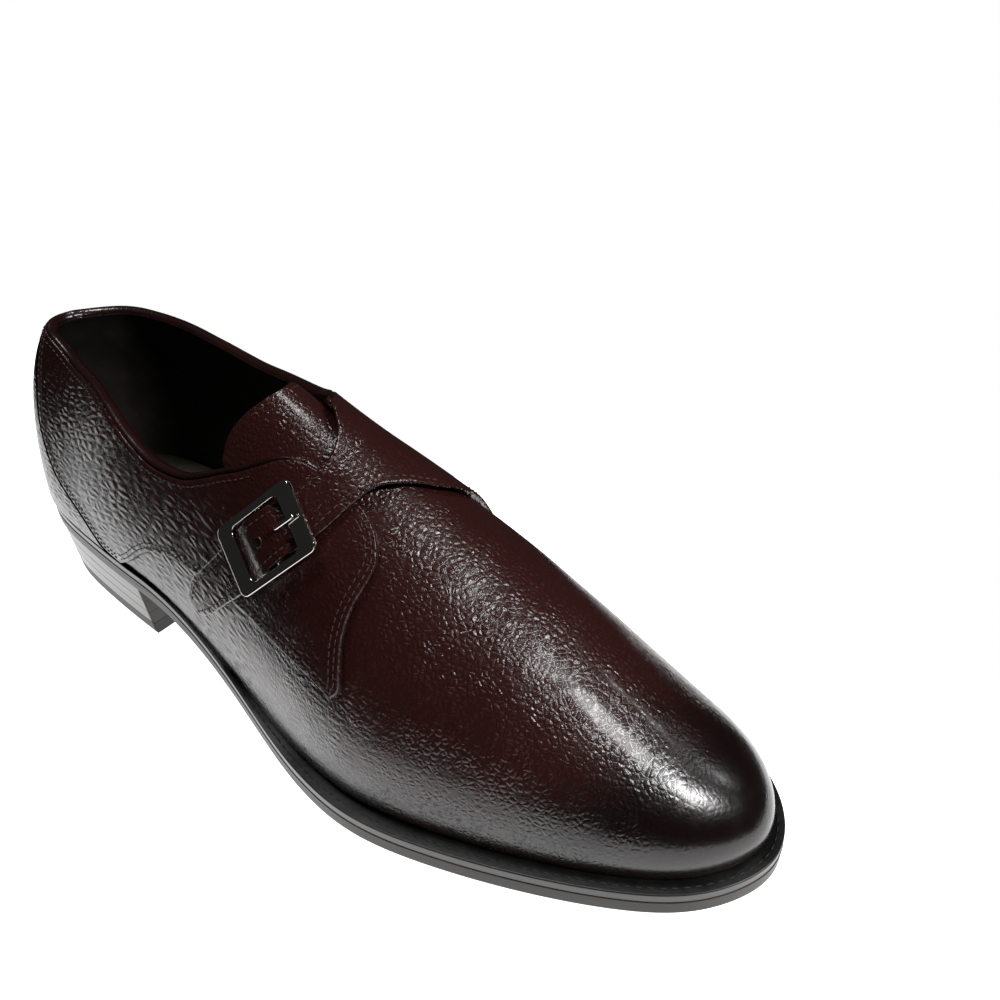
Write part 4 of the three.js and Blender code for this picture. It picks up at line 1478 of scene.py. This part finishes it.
@dataclass
class Slab:
    """A layer of the sole or the heel with a rounded edge, over the outline or a part of it."""

    name: str
    node: str
    bottom: Callable[[Array], Array]
    top: Callable[[Array], Array]
    inset: Callable[[Array, Array, float], Array]
    to: float = 1.0
    round_low: float = 0.5
    round_high: float = 0.5
    flat_from: float = 0.75
    steps: int = 150

    def profile(self) -> list[tuple[float, float]]:
        """Depth in and share of the height along the rounded edge, from below to above.

        Returns:
            Pairs of depth and rise.
        """
        turn = shares(4) * math.pi / 2
        under = self.round_low
        low = [(under * (1 - math.sin(a)), -under * (math.cos(a) - 1)) for a in turn]
        over = self.round_high
        high = [(over * (1 - math.cos(a)), -over * (1 - math.sin(a))) for a in turn]
        return low + high

    def build(
        self, material: bpy.types.Material, slot: str, flat: bpy.types.Material | None = None
    ) -> object:
        """Builds the layer and dresses it.

        Args:
            material: Finish of the edge.
            slot: Name of the material slot.
            flat: Finish of the faces that look up or down, if it is another one.

        Returns:
            The piece.
        """
        end = float(LAST.station(self.to)) if self.to < 1 else 1.0
        stations = shares(self.steps) * end
        half = len(self.profile()) // 2
        loops = []
        for k, (depth, rise) in enumerate(self.profile()):
            sides = []
            for medial in (False, True):
                share = 0.0 if k < half else 1.0
                inset = self.inset(stations, np.full(stations.shape, medial), share) + depth
                place, _ = LAST.outline(stations, medial, inset)
                level = (self.bottom if k < half else self.top)(place[:, 0]) + rise
                sides.append(np.column_stack([place, level]))
            loops.append(sides)
        points = [line for sides in loops for line in sides]
        faces = []
        count = len(stations)

        def at(loop: int, side: int, i: int) -> int:
            """Number of a point."""
            return (loop * 2 + side) * count + i

        last = len(loops) - 1
        for k in range(last):
            for side in (0, 1):
                for i in range(count - 1):
                    low, high = at(k, side, i), at(k + 1, side, i)
                    faces.append([low, low + 1, high + 1, high])
        for loop in (0, last):
            for i in range(count - 1):
                lateral, medial = at(loop, 0, i), at(loop, 1, i)
                faces.append([lateral, lateral + 1, medial + 1, medial])
        if end < 1:
            i = count - 1
            ring = [at(k, 0, i) for k in range(last + 1)]
            faces.append(ring + [at(k, 1, i) for k in range(last, -1, -1)])
        piece = make_mesh(self.name, np.concatenate(points) - LAST.origin, faces)
        tidy_mesh(piece, reach=2e-5)
        self.flatten(piece)
        piece.data.materials.append(material)
        if flat:
            piece.data.materials.append(flat)
            for face in piece.data.polygons:
                face.material_index = int(abs(face.normal.z) > self.flat_from)
        ride(piece, slot, self.node)
        return piece

    @staticmethod
    def flatten(piece: bpy.types.Object) -> None:
        """Keeps the edges between the edge's rounding and the flat faces crisp."""
        modifier = piece.modifiers.new("weighted", "WEIGHTED_NORMAL")
        modifier.keep_sharp = True


@dataclass
class Sole:
    """The welt, the outsole, the sock and the heel's lifts."""

    lift_count: int = 3
    top_lift: float = 5.0
    sock_thick: float = 3.0
    heel_taper: float = 1.6
    heel_inset: float = 0.4
    heel_round: float = 0.08
    wall: float = LAST.wall
    lift_gap: float = 0.12
    top_gap: float = 0.05
    welt_inset: float = 0.2
    welt_gap: float = 0.1

    def lift(self, k: int) -> Slab:
        """A lift of the heel, from 0 on the ground.

        Args:
            k: Number of the lift.

        Returns:
            The lift.
        """

        def pitch(x: Array) -> Array:
            """Height that a lift takes."""
            return (LAST.tread(x) - LAST.gap - self.top_lift) / self.lift_count

        def bottom(x: Array) -> Array:
            """Height of the underside."""
            level = self.top_lift + self.lift_gap + (k - 1) * pitch(x)
            return np.zeros_like(x) if k == 0 else level

        def top(x: Array) -> Array:
            """Height of the upper side."""
            level = np.full_like(x, self.top_lift - self.top_gap)
            return level if k == 0 else self.top_lift + k * pitch(x)

        def inset(station: Array, medial: Array, share: float) -> Array:
            """Distance in, more towards the ground."""
            part = (k + share) / (self.lift_count + 1)
            depth = self.heel_taper + (self.heel_inset - self.heel_taper) * part
            return np.full(station.shape, depth)

        node = "heel_top_lift" if k == 0 else f"heel_lift_{k}"
        name = "heel_top_piece" if k == 0 else f"heel_layer_{k}"
        soft = self.heel_round
        return Slab(name, node, bottom, top, inset, LAST.breast, soft, soft, steps=70)

    def build(self, finish: Finishes) -> None:
        """Builds all layers.

        Args:
            finish: Finishes.
        """

        def flush(station: Array, medial: Array, share: float) -> Array:
            """No distance in."""
            return np.zeros(station.shape)

        def inside(station: Array, medial: Array, share: float) -> Array:
            """Distance in to the inner face of the wall."""
            return LAST.pick("welt", LAST.along(station), medial) + self.wall + 2 * LAST.gap

        def welt_edge(station: Array, medial: Array, share: float) -> Array:
            """Distance in of the welt, the same all round."""
            return np.full(station.shape, self.welt_inset)

        def sole_top(x: Array) -> Array:
            """Upper side of the outsole."""
            return LAST.tread(x) + LAST.outsole

        def welt_low(x: Array) -> Array:
            """Underside of the welt."""
            return sole_top(x) + self.welt_gap

        def welt_top(x: Array) -> Array:
            """Upper side of the welt."""
            return sole_top(x) + LAST.gap + LAST.welt

        def sock_top(x: Array) -> Array:
            """Upper side of the sock."""
            return LAST.seat(x) + self.sock_thick

        sole = Slab("leather_outsole", "outsole", LAST.tread, sole_top, flush, 1.0, 0.6, 0.15)
        welt = Slab("welt_strip", "welt", welt_low, welt_top, welt_edge, 1.0, 0.15, 0.45)
        sock = Slab("sock", "insole", LAST.seat, sock_top, inside, 1.0, 0.3, 0.8)
        sole.build(finish.side, "edge_leather", finish.tread)
        welt.build(finish.edge, "edge_leather", finish.welt)
        sock.build(finish.sock, "sock_leather")
        for k in range(self.lift_count + 1):
            self.lift(k).build(finish.rubber if k == 0 else finish.stack, "edge_leather")


@dataclass
class Buckle:
    """The flat nickel frame, its centre bar and its prong."""

    shared: Uppers
    wide: float = 21.4
    thick: float = 1.8
    side_bar: float = 2.4
    corner: float = 2.4
    bevel: float = 0.5
    hole_long: float = 4.2
    hole_from: float = 1.6
    hole_share: float = 0.45
    window_corner: float = 1.9
    soft_edge: float = 0.2
    at: tuple = (0.521, -0.463)
    front: tuple = (0.541, -0.32)
    rear: tuple = (0.498, -0.588)

    def __post_init__(self) -> None:
        """Sets the frame's own directions on the last."""
        s, g = (np.array(value) for value in self.at)
        self.out = LAST.normal(s, g)
        run = LAST.surface(*self.rear) - LAST.surface(*self.front)
        self.along = unit(run - self.out * (run @ self.out))
        self.across = np.cross(self.out, self.along)
        self.lift = self.shared.pile + self.shared.strap_thick + self.thick / 2
        self.middle = LAST.place(np.array(self.at), self.lift)

    def point(self, along: Array, across: Array, out: Array) -> Array:
        """A point given by its distances from the frame's middle.

        Args:
            along: Distances along the frame.
            across: Distances across it.
            out: Distances out from it.

        Returns:
            The points.
        """
        parts = zip((along, across, out), (self.along, self.across, self.out))
        return self.middle + sum(np.asarray(value, float)[..., None] * way for value, way in parts)

    @staticmethod
    def rounded(long: float, wide: float, radius: float, steps: int = 10) -> Array:
        """Points round a rounded rectangle.

        Args:
            long: Its length.
            wide: Its width.
            radius: Radius of its corners.
            steps: Steps round a corner.

        Returns:
            The points, n by 2.
        """
        points = []
        for k, (x, y) in enumerate(((1, 1), (-1, 1), (-1, -1), (1, -1))):
            for u in shares(steps):
                a = (k + u) * math.pi / 2
                forth = x * (long / 2 - radius) + radius * math.cos(a)
                side = y * (wide / 2 - radius) + radius * math.sin(a)
                points.append((forth, side))
        return np.array(points)

    def frame(self, finish: Finishes) -> None:
        """Builds the frame as a ring with rounded bevels.

        Args:
            finish: Finishes.
        """
        long, half = self.shared.buckle_long, self.thick / 2
        inner = (long - 2 * self.shared.end_bar, self.wide - 2 * self.side_bar)
        turn = shares(5) * math.pi / 2
        path = []
        low = 0.15
        for d, z in ((self.bevel, -half), (low, -half + low), (0, -half + self.bevel)):
            path.append((long - 2 * d, self.wide - 2 * d, self.corner - d, z))
        for a in turn:
            d, z = self.bevel * 2 * (1 - math.cos(a)), half - self.bevel * (1 - math.sin(a))
            path.append((long - 2 * d, self.wide - 2 * d, max(self.corner - d, 0.3), z))
        for a in turn[::-1]:
            d, z = self.bevel * (1 - math.cos(a)), half - self.bevel * (1 - math.sin(a))
            path.append((inner[0] + 2 * d, inner[1] + 2 * d, self.window_corner + d, z))
        soft = self.soft_edge
        for d, z in ((0, -half + soft), (soft, -half)):
            path.append((inner[0] + 2 * d, inner[1] + 2 * d, self.window_corner + d, z))
        points = []
        for size, across, corner, z in path:
            loop = self.rounded(size, across, corner)
            points.append(self.point(loop[:, 0], loop[:, 1], np.full(len(loop), z)))
        points = np.stack(points)
        faces = tube_faces(*points.shape[:2], joined=True)
        piece = make_mesh("buckle_ring", points.reshape(-1, 3), faces)
        tidy_mesh(piece)
        piece.modifiers.new("weighted", "WEIGHTED_NORMAL")
        piece.data.materials.append(finish.nickel)
        ride(piece, "buckle_nickel", "buckle_frame")

    def rod(
        self, name: str, stops: Array, radius: Array, across: Array, finish: Finishes, node: str
    ) -> None:
        """Builds a round rod along points.

        Args:
            name: Name of the piece.
            stops: Points along the rod.
            radius: Its radius at each.
            across: A direction square to the rod.
            finish: Finishes.
            node: Solid that it stands for.
        """
        run = unit(np.gradient(stops, axis=0))
        up = unit(np.cross(run, across))
        angles = ring_angles(12)
        ring = np.cos(angles)[None, :, None] * up[:, None] + np.sin(angles)[None, :, None] * across
        points = stops[:, None] + ring * radius[:, None, None]
        faces = tube_faces(len(stops), len(angles))
        piece = make_mesh(name, points.reshape(-1, 3), faces)
        tidy_mesh(piece)
        piece.data.materials.append(finish.nickel)
        ride(piece, "buckle_nickel", node)

    def hole(self, finish: Finishes, at: float = 2.4) -> None:
        """Punches the spare hole: a round with a soft rim, its middle painted black as shade.

        Args:
            finish: Finishes.
            at: Place along the buckle.
        """
        share = np.linspace(0.3, 0.9, 400)
        chart = (Line(Pattern.strap_rear)(share) + Line(Pattern.strap_front)(share)) / 2
        over = self.shared.strap_lifts(chart, share, self)[1]
        top = LAST.place(chart, over)
        k = int(np.argmin(np.abs((top - self.middle) @ self.along - at)))
        run = unit(top[k + 1] - top[k - 1])
        out = unit(LAST.normal(*chart[k]) - run * (LAST.normal(*chart[k]) @ run))
        across = np.cross(out, run)
        # Radius and height of each ring, from the bottom of the hole over its rim to the inside.
        profile = ((0.02, 0.05), (1.0, 0.05), (1.15, 0.24), (1.4, 0.2), (1.9, -0.2), (0.02, -0.5))
        painted_shade_to = 1.1
        angles = ring_angles(24)
        ring = np.cos(angles)[:, None] * run + np.sin(angles)[:, None] * across
        points = np.concatenate([top[k] + r * ring + z * out for r, z in profile])
        faces = tube_faces(len(profile), len(angles))
        spots = np.tile(chart[k], (len(points), 1))
        piece = make_mesh("punched_hole", points, faces, chart_uv(spots), **chart_marks(spots))
        tidy_mesh(piece)
        # The middle of the round gets the near-black welt finish, as painted shade in the hole.
        for material in (finish.leather, finish.welt):
            piece.data.materials.append(material)
        for face in piece.data.polygons:
            gap = np.array(face.center) / METRES - top[k]
            face.material_index = int(np.linalg.norm(gap - out * (gap @ out)) < painted_shade_to)
        ride(piece, "upper_leather")

    def build(self, finish: Finishes) -> None:
        """Builds the frame, the bar, the prong and the spare hole.

        Args:
            finish: Finishes.
        """
        self.frame(finish)
        self.hole(finish)
        shared = self.shared
        bar_out = shared.pile + shared.pin / 2 - self.lift
        reach = self.wide / 2 - self.side_bar - LAST.gap
        ends = self.point(np.zeros(6), np.linspace(-reach, reach, 6), np.full(6, bar_out))
        self.rod(
            "buckle_bar", ends, np.full(6, shared.pin / 2), self.along, finish, "buckle_centre_bar"
        )
        front_bar = -shared.buckle_long / 2 + shared.end_bar
        hole = front_bar + self.hole_from + self.hole_share * self.hole_long
        above = self.thick / 2 + shared.surface_gap + shared.pin / 2
        # Places along the buckle and heights over it, from the prong's eye to its tip.
        stops = np.array([
            (-shared.pin - LAST.gap, bar_out), (hole + 1.1, bar_out), (hole + 0.45, bar_out + 0.35),
            (hole - 0.35, above - 0.2), (hole - 1.1, above + 0.25), (front_bar - 1, above + 0.1),
            (front_bar - 3.2, above), (front_bar - 3.9, above + 0.5),
        ])
        at = shares(len(stops) - 1) * (len(stops) - 1)
        fine = np.linspace(0, len(stops) - 1, 40)
        along, height = (Spline(at, stops[:, k])(fine) for k in (0, 1))
        path = self.point(along, np.zeros(len(fine)), height)
        radius = shared.pin / 2 * np.interp(fine, [0, 5, 7], [1, 1, 0.75])
        self.rod("buckle_pin", path, radius, self.across, finish, "buckle_prong")


@dataclass
class Stitching:
    """Rows of stitches, set along lines by one node tree."""

    spacing: float = 2.35
    length: float = 1.75
    width: float = 0.5
    height: float = 0.42
    segments: int = 8
    rings: int = 5

    def __post_init__(self) -> None:
        """Builds the node tree with its inputs."""
        tree = bpy.data.node_groups.new("stitch_row", "GeometryNodeTree")
        face = tree.interface
        face.new_socket("Row", in_out="INPUT", socket_type="NodeSocketGeometry")
        for name in ("Spacing", "Length", "Width", "Height"):
            face.new_socket(name, in_out="INPUT", socket_type="NodeSocketFloat")
        face.new_socket("Thread", in_out="INPUT", socket_type="NodeSocketMaterial")
        face.new_socket("Stitches", in_out="OUTPUT", socket_type="NodeSocketGeometry")
        nodes, link = tree.nodes, tree.links.new
        given, result = nodes.new("NodeGroupInput"), nodes.new("NodeGroupOutput")
        curve = nodes.new("GeometryNodeMeshToCurve")
        link(given.outputs["Row"], curve.inputs[0])
        even = nodes.new("GeometryNodeResampleCurve")
        even.mode = "LENGTH"
        link(curve.outputs[0], even.inputs["Curve"])
        link(given.outputs["Spacing"], even.inputs["Length"])
        ball = nodes.new("GeometryNodeMeshUVSphere")
        ball.inputs["Segments"].default_value = self.segments
        ball.inputs["Rings"].default_value = self.rings
        ball.inputs["Radius"].default_value = 0.5
        shape = nodes.new("ShaderNodeCombineXYZ")
        for axis, name in zip("XYZ", ("Length", "Width", "Height")):
            link(given.outputs[name], shape.inputs[axis])
        tangent = nodes.new("GeometryNodeInputTangent")
        out = nodes.new("GeometryNodeInputNamedAttribute")
        out.data_type = "FLOAT_VECTOR"
        out.inputs["Name"].default_value = "out"
        first = nodes.new("FunctionNodeAlignRotationToVector")
        first.axis = "X"
        link(tangent.outputs[0], first.inputs["Vector"])
        second = nodes.new("FunctionNodeAlignRotationToVector")
        second.axis, second.pivot_axis = "Z", "X"
        link(first.outputs[0], second.inputs["Rotation"])
        link(out.outputs["Attribute"], second.inputs["Vector"])
        spread = nodes.new("GeometryNodeInstanceOnPoints")
        link(even.outputs[0], spread.inputs["Points"])
        link(ball.outputs[0], spread.inputs["Instance"])
        link(second.outputs[0], spread.inputs["Rotation"])
        link(shape.outputs[0], spread.inputs["Scale"])
        real = nodes.new("GeometryNodeRealizeInstances")
        link(spread.outputs[0], real.inputs[0])
        soft = nodes.new("GeometryNodeSetShadeSmooth")
        link(real.outputs[0], soft.inputs[0])
        dress = nodes.new("GeometryNodeSetMaterial")
        link(soft.outputs[0], dress.inputs["Geometry"])
        link(given.outputs["Thread"], dress.inputs["Material"])
        link(dress.outputs[0], result.inputs[0])
        self.tree = tree

    def row(
        self, name: str, lines: list[tuple[Array, Array]], thread: bpy.types.Material, slot: str,
        spacing: float | None = None, length: float | None = None,
    ) -> bpy.types.Object:
        """Sets stitches along lines.

        Args:
            name: Name of the piece.
            lines: For each row its points in millimetres and its outward directions.
            thread: Finish of the stitches.
            slot: Name of the material slot.
            spacing: Distance between stitches, if not the usual one.
            length: Length of a stitch, if not the usual one.

        Returns:
            The piece.
        """
        points = np.concatenate([line for line, _ in lines])
        outs = np.concatenate([out for _, out in lines])
        edges, start = [], 0
        for line, _ in lines:
            edges += [(start + i, start + i + 1) for i in range(len(line) - 1)]
            start += len(line)
        mesh = bpy.data.meshes.new(name + "_path")
        mesh.from_pydata((points * METRES).tolist(), edges, [])
        attribute = mesh.attributes.new("out", "FLOAT_VECTOR", "POINT")
        attribute.data.foreach_set("vector", outs.astype(np.float32).ravel())
        path = bpy.data.objects.new(name + "_path", mesh)
        bpy.context.scene.collection.objects.link(path)
        modifier = path.modifiers.new("stitches", "NODES")
        modifier.node_group = self.tree
        values = {
            "Spacing": (spacing or self.spacing) * METRES,
            "Length": (length or self.length) * METRES,
            "Width": self.width * METRES,
            "Height": self.height * METRES,
            "Thread": thread,
        }
        for item in self.tree.interface.items_tree:
            if item.in_out == "INPUT" and item.name in values:
                modifier[item.identifier] = values[item.name]
        graph = bpy.context.evaluated_depsgraph_get()
        made = bpy.data.meshes.new_from_object(path.evaluated_get(graph))
        piece = bpy.data.objects.new(name, made)
        bpy.context.scene.collection.objects.link(piece)
        bpy.data.objects.remove(path)
        if not made.materials:
            made.materials.append(thread)
        ride(piece, slot)
        return piece


def inner_row(
    line: Callable, distance: float, lift: float, towards: tuple[float, float] | None,
    start: float = 0.0, end: float = 1.0, count: int = 240,
) -> tuple[Array, Array]:
    """A row at a distance in from a pattern line, on the side of a chart point.

    Args:
        line: The pattern line.
        distance: Millimetres in.
        lift: Height over the last.
        towards: Chart point inside the panel; without one the row lies below the line.
        start: Share at which the row starts.
        end: Share at which it ends.
        count: Number of points.

    Returns:
        Points and outward directions.
    """
    chart = line(np.linspace(start, end, count))
    s, g = chart[:, 0], chart[:, 1]
    step = 1e-3
    by_station = (LAST.surface(s + step, g) - LAST.surface(s - step, g)) / (2 * step)
    by_girth = (LAST.surface(s, g + step) - LAST.surface(s, g - step)) / (2 * step)
    normal = LAST.normal(s, g)
    run = unit(np.gradient(LAST.surface(s, g), axis=0))
    side = np.cross(normal, run)
    inside = by_girth * np.sign(g)[:, None]
    if towards:
        inside = LAST.surface(*(np.array(value) for value in towards)) - LAST.surface(s, g)
    side *= np.sign(np.sum(side * inside, -1, keepdims=True))
    move = side * distance
    metric = np.stack([
        np.stack([np.sum(by_station**2, -1), np.sum(by_station * by_girth, -1)], -1),
        np.stack([np.sum(by_station * by_girth, -1), np.sum(by_girth**2, -1)], -1),
    ], -2)
    right = np.stack([np.sum(by_station * move, -1), np.sum(by_girth * move, -1)], -1)
    chart = chart + np.linalg.solve(metric, right[..., None])[..., 0]
    return LAST.place(chart, np.full(count, lift)), LAST.normal(chart[:, 0], chart[:, 1])


@dataclass
class Seams:
    """The rows of stitches on the panels and the welt, and the rolled edge of the collar."""

    shared: Uppers
    stitching: Stitching
    distances: tuple = (1.7, 3.3)
    collar_distance: float = 3.4
    tongue_distance: float = 2.4
    proud: float = 0.03
    strap_inset: float = 0.0046
    welt_from: float = 0.34
    roll_depth: float = 0.55
    roll_height: float = 1.15
    roll_taper: float = 0.035

    def panels(self, finish: Finishes, buckle: Buckle) -> None:
        """Sews the panels.

        Args:
            finish: Finishes.
            buckle: The buckle that the strap goes through.
        """
        p, top = Pattern, self.shared.top + self.proud
        # Pattern line, a chart point inside the panel, and the shares at which the rows run.
        sewn = (
            (p.facing_lateral, (0.45, -0.68), 0.04, 0.97),
            (p.quarter_seam, (0.45, -0.5), 0.03, 0.96),
            (p.counter_seam, (0.3, -0.6), 0.02, 0.97),
            (p.facing_medial, (0.45, 0.68), 0.04, 0.97),
            (p.mirrored(p.quarter_seam), (0.45, 0.5), 0.03, 0.96),
            (p.mirrored(p.counter_seam), (0.3, 0.6), 0.02, 0.97),
        )
        rows = [
            inner_row(Line(line), distance, top, inside, start, end)
            for distance in self.distances for line, inside, start, end in sewn
        ]
        for line, end in ((p.collar_lateral, 0.9), (p.collar_medial, 0.86)):
            rows.append(inner_row(Line(line), self.collar_distance, top, None, 0.02, end, 400))
        self.stitching.row("panel_stitches", rows, finish.thread, "upper_leather")

        strap = []
        inset = self.strap_inset
        for line, shift in ((Line(p.strap_rear), inset), (Line(p.strap_front), -inset)):
            share = np.linspace(0.17, 0.985, 280)
            chart = line(share) + np.array([shift, 0.0])
            over = self.shared.strap_lifts(chart, share, buckle)[1] + self.proud
            strap.append((LAST.place(chart, over), LAST.normal(chart[:, 0], chart[:, 1])))
        self.stitching.row("strap_stitches", strap, finish.thread, "upper_leather")
        tongue_top = -self.shared.wall - 1.5 * self.shared.panel_gap + self.proud
        rear = Line(p.tongue_rear)
        edge = [inner_row(rear, self.tongue_distance, tongue_top, (0.53, -0.05), 0.3, 0.8)]
        self.stitching.row("tongue_stitches", edge, finish.thread, "upper_leather")

    def welt(self, finish: Finishes) -> None:
        """Sews the welt to the outsole, in front of the heel.

        Args:
            finish: Finishes.
        """
        rows = []
        for medial in (False, True):
            stations = np.linspace(self.welt_from, 1.0, 400)
            along = LAST.along(stations)
            # The row lies a little outside the middle of the welt.
            inset = 0.4 + 0.42 * LAST.pick("welt", along, np.full(stations.shape, medial))
            place, _ = LAST.outline(stations, medial, inset)
            level = LAST.seat(place[:, 0]) - LAST.gap + 0.05
            line = np.column_stack([place, level]) - LAST.origin
            rows.append((line, np.tile([0.0, 0.0, 1.0], (len(place), 1))))
        self.stitching.row("welt_stitches", rows, finish.pale_thread, "edge_leather", 3.0, 2.3)

    def collar(self, finish: Finishes) -> None:
        """Rolls the lining over the collar's edge.

        Args:
            finish: Finishes.
        """
        p = Pattern
        ring = np.concatenate([
            Line(p.collar_lateral)(shares(260))[::-1], Line(p.collar_medial)(shares(240))[1:],
        ])
        s, g = ring[:, 0], ring[:, 1]
        out = LAST.normal(s, g)
        middle = LAST.surface(s, g) - LAST.origin
        run = unit(np.gradient(middle, axis=0))
        up = np.cross(run, out)
        up *= np.sign(np.mean(up[:, 2]))
        high = self.shared.top - 0.25
        share = shares(len(s) - 1)
        taper = 0.25 + 0.75 * smooth(np.minimum(share, 1 - share) / self.roll_taper)
        width = (high + self.shared.wall) / 2 * taper
        centre = middle + out * ((high - self.shared.wall) / 2) - up * self.roll_depth
        angles = ring_angles(16)
        over = np.cos(angles)[None, :, None] * out[:, None] * width[:, None, None]
        rise = np.sin(angles)[None, :, None] * up[:, None] * self.roll_height
        section = over + rise * taper[:, None, None]
        points = (centre[:, None] + section).reshape(-1, 3)
        faces = tube_faces(len(ring), len(angles))
        chart = np.repeat(ring, len(angles), axis=0)
        levels = {"burnish_and_shade": 0.6, "polish": 0.85, "crease": 0.0}
        marks = {name: np.full(len(chart), value) for name, value in levels.items()}
        piece = make_mesh("collar_roll", points, faces, chart_uv(chart), **marks)
        tidy_mesh(piece)
        piece.data.materials.append(finish.leather)
        ride(piece, "upper_leather")


@dataclass(frozen=True)
class Softbox:
    """A square lamp that looks at a point."""

    name: str
    place: tuple
    target: tuple
    size: tuple
    power: float

    def build(self) -> None:
        """Makes the lamp."""
        lamp = bpy.data.lights.new(self.name, "AREA")
        lamp.shape = "RECTANGLE"
        lamp.size, lamp.size_y = self.size
        lamp.energy = self.power
        thing = bpy.data.objects.new(self.name, lamp)
        bpy.context.scene.collection.objects.link(thing)
        back = unit(np.array(self.place) - np.array(self.target))
        right = unit(np.cross([0, 0, 1.0], back)) if abs(back[2]) < 0.999 else np.array([1.0, 0, 0])
        up = np.cross(back, right)
        turn = Matrix((right, up, back)).transposed().to_4x4()
        thing.matrix_world = Matrix.Translation(self.place) @ turn


@dataclass(frozen=True)
class Studio:
    """The floor, the soft lights and the camera."""

    azimuth: float = 36.34
    elevation: float = 34.18
    roll: float = -1.44
    distance: float = 371.92
    target: tuple = (133.5, 114.49, 0.0)
    lens: float = 29.34
    sensor: float = 36.0
    floor_outline: tuple = (
        (-270, -70), (60, -70), (150, -118), (420, -122), (420, 116), (-270, 116),
    )
    floor_grey: float = 0.6
    floor_glow: float = 1.45
    around: float = 0.02
    lamps: tuple = (
        Softbox("key_softbox", (0.98, 0.055, 0.98), (0.21, -0.02, 0.045), (0.26, 0.2), 13),
        Softbox("toe_lamp", (0.88, 0.62, 0.83), (0.22, 0.0, 0.03), (0.06, 0.06), 0.5),
        Softbox("top_softbox", (-0.15, 0.0, 1.25), (0.08, 0.0, 0.06), (0.26, 0.22), 7.5),
    )

    def camera(self) -> None:
        """Makes the camera at the photograph's place."""
        az, el, roll = (math.radians(v) for v in (self.azimuth, self.elevation, self.roll))
        back = np.array([math.sin(az) * math.cos(el), -math.cos(az) * math.cos(el), math.sin(el)])
        right = np.array([math.cos(az), math.sin(az), 0.0])
        up = np.cross(back, right)
        level = math.cos(roll) * right + math.sin(roll) * up
        upright = -math.sin(roll) * right + math.cos(roll) * up
        place = (np.array(self.target) + self.distance * back - LAST.origin) * METRES
        data = bpy.data.cameras.new("camera")
        data.lens, data.sensor_width = self.lens, self.sensor
        data.clip_start = 0.01
        thing = bpy.data.objects.new("camera", data)
        bpy.context.scene.collection.objects.link(thing)
        turn = Matrix((level, upright, back)).transposed().to_4x4()
        thing.matrix_world = Matrix.Translation(place.tolist()) @ turn
        bpy.context.scene.camera = thing

    def floor(self) -> None:
        """Lays the pale floor, cut to the outline that the reflections along the sole show."""
        corners = np.array([(x, y, 0) for x, y in self.floor_outline], float)
        floor = make_mesh("floor", corners, [list(range(len(corners)))])
        s = Shader("pale_floor")
        s.bsdf.inputs["Base Color"].default_value = (*[self.floor_grey] * 3, 1)
        s.bsdf.inputs["Roughness"].default_value = 0.9
        s.bsdf.inputs["Emission Color"].default_value = (1, 1, 1, 1)
        s.bsdf.inputs["Emission Strength"].default_value = self.floor_glow
        floor.data.materials.append(s.material)

    def world(self) -> None:
        """Sets the light around: white for the camera, and faint for what the shoe mirrors."""
        world = bpy.data.worlds.new("studio")
        bpy.context.scene.world = world
        world.use_nodes = True
        tree = world.node_tree
        tree.nodes.clear()
        out = tree.nodes.new("ShaderNodeOutputWorld")
        path = tree.nodes.new("ShaderNodeLightPath")
        soft, seen = (tree.nodes.new("ShaderNodeBackground") for _ in range(2))
        soft.inputs["Color"].default_value = (1, 1, 1, 1)
        soft.inputs["Strength"].default_value = self.around
        seen.inputs["Color"].default_value = (1, 1, 1, 1)
        seen.inputs["Strength"].default_value = 1.0
        mix = tree.nodes.new("ShaderNodeMixShader")
        tree.links.new(path.outputs["Is Camera Ray"], mix.inputs[0])
        tree.links.new(soft.outputs[0], mix.inputs[1])
        tree.links.new(seen.outputs[0], mix.inputs[2])
        tree.links.new(mix.outputs[0], out.inputs[0])

    def build(self) -> None:
        """Makes camera, floor and lights."""
        bpy.context.scene.view_settings.view_transform = "Standard"
        self.camera()
        self.floor()
        self.world()
        for lamp in self.lamps:
            lamp.build()


def main() -> None:
    """Builds the shoe, piece by piece."""
    logging.basicConfig(level=logging.INFO, format="%(name)s %(message)s")
    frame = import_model()
    LOG.info("frame with %d solid nodes", len(frame["nodes"]))
    Studio().build()
    finish = Finishes.make()
    shared = Uppers()
    buckle = Buckle(shared)
    Upper().build(finish)
    for panel in (shared.lateral(), shared.medial(buckle), shared.counter(), shared.tongue()):
        panel.build(finish)
    Sole().build(finish)
    buckle.build(finish)
    seams = Seams(shared, Stitching())
    seams.panels(finish, buckle)
    seams.welt(finish)
    seams.collar(finish)


if __name__ == "__main__":
    main()
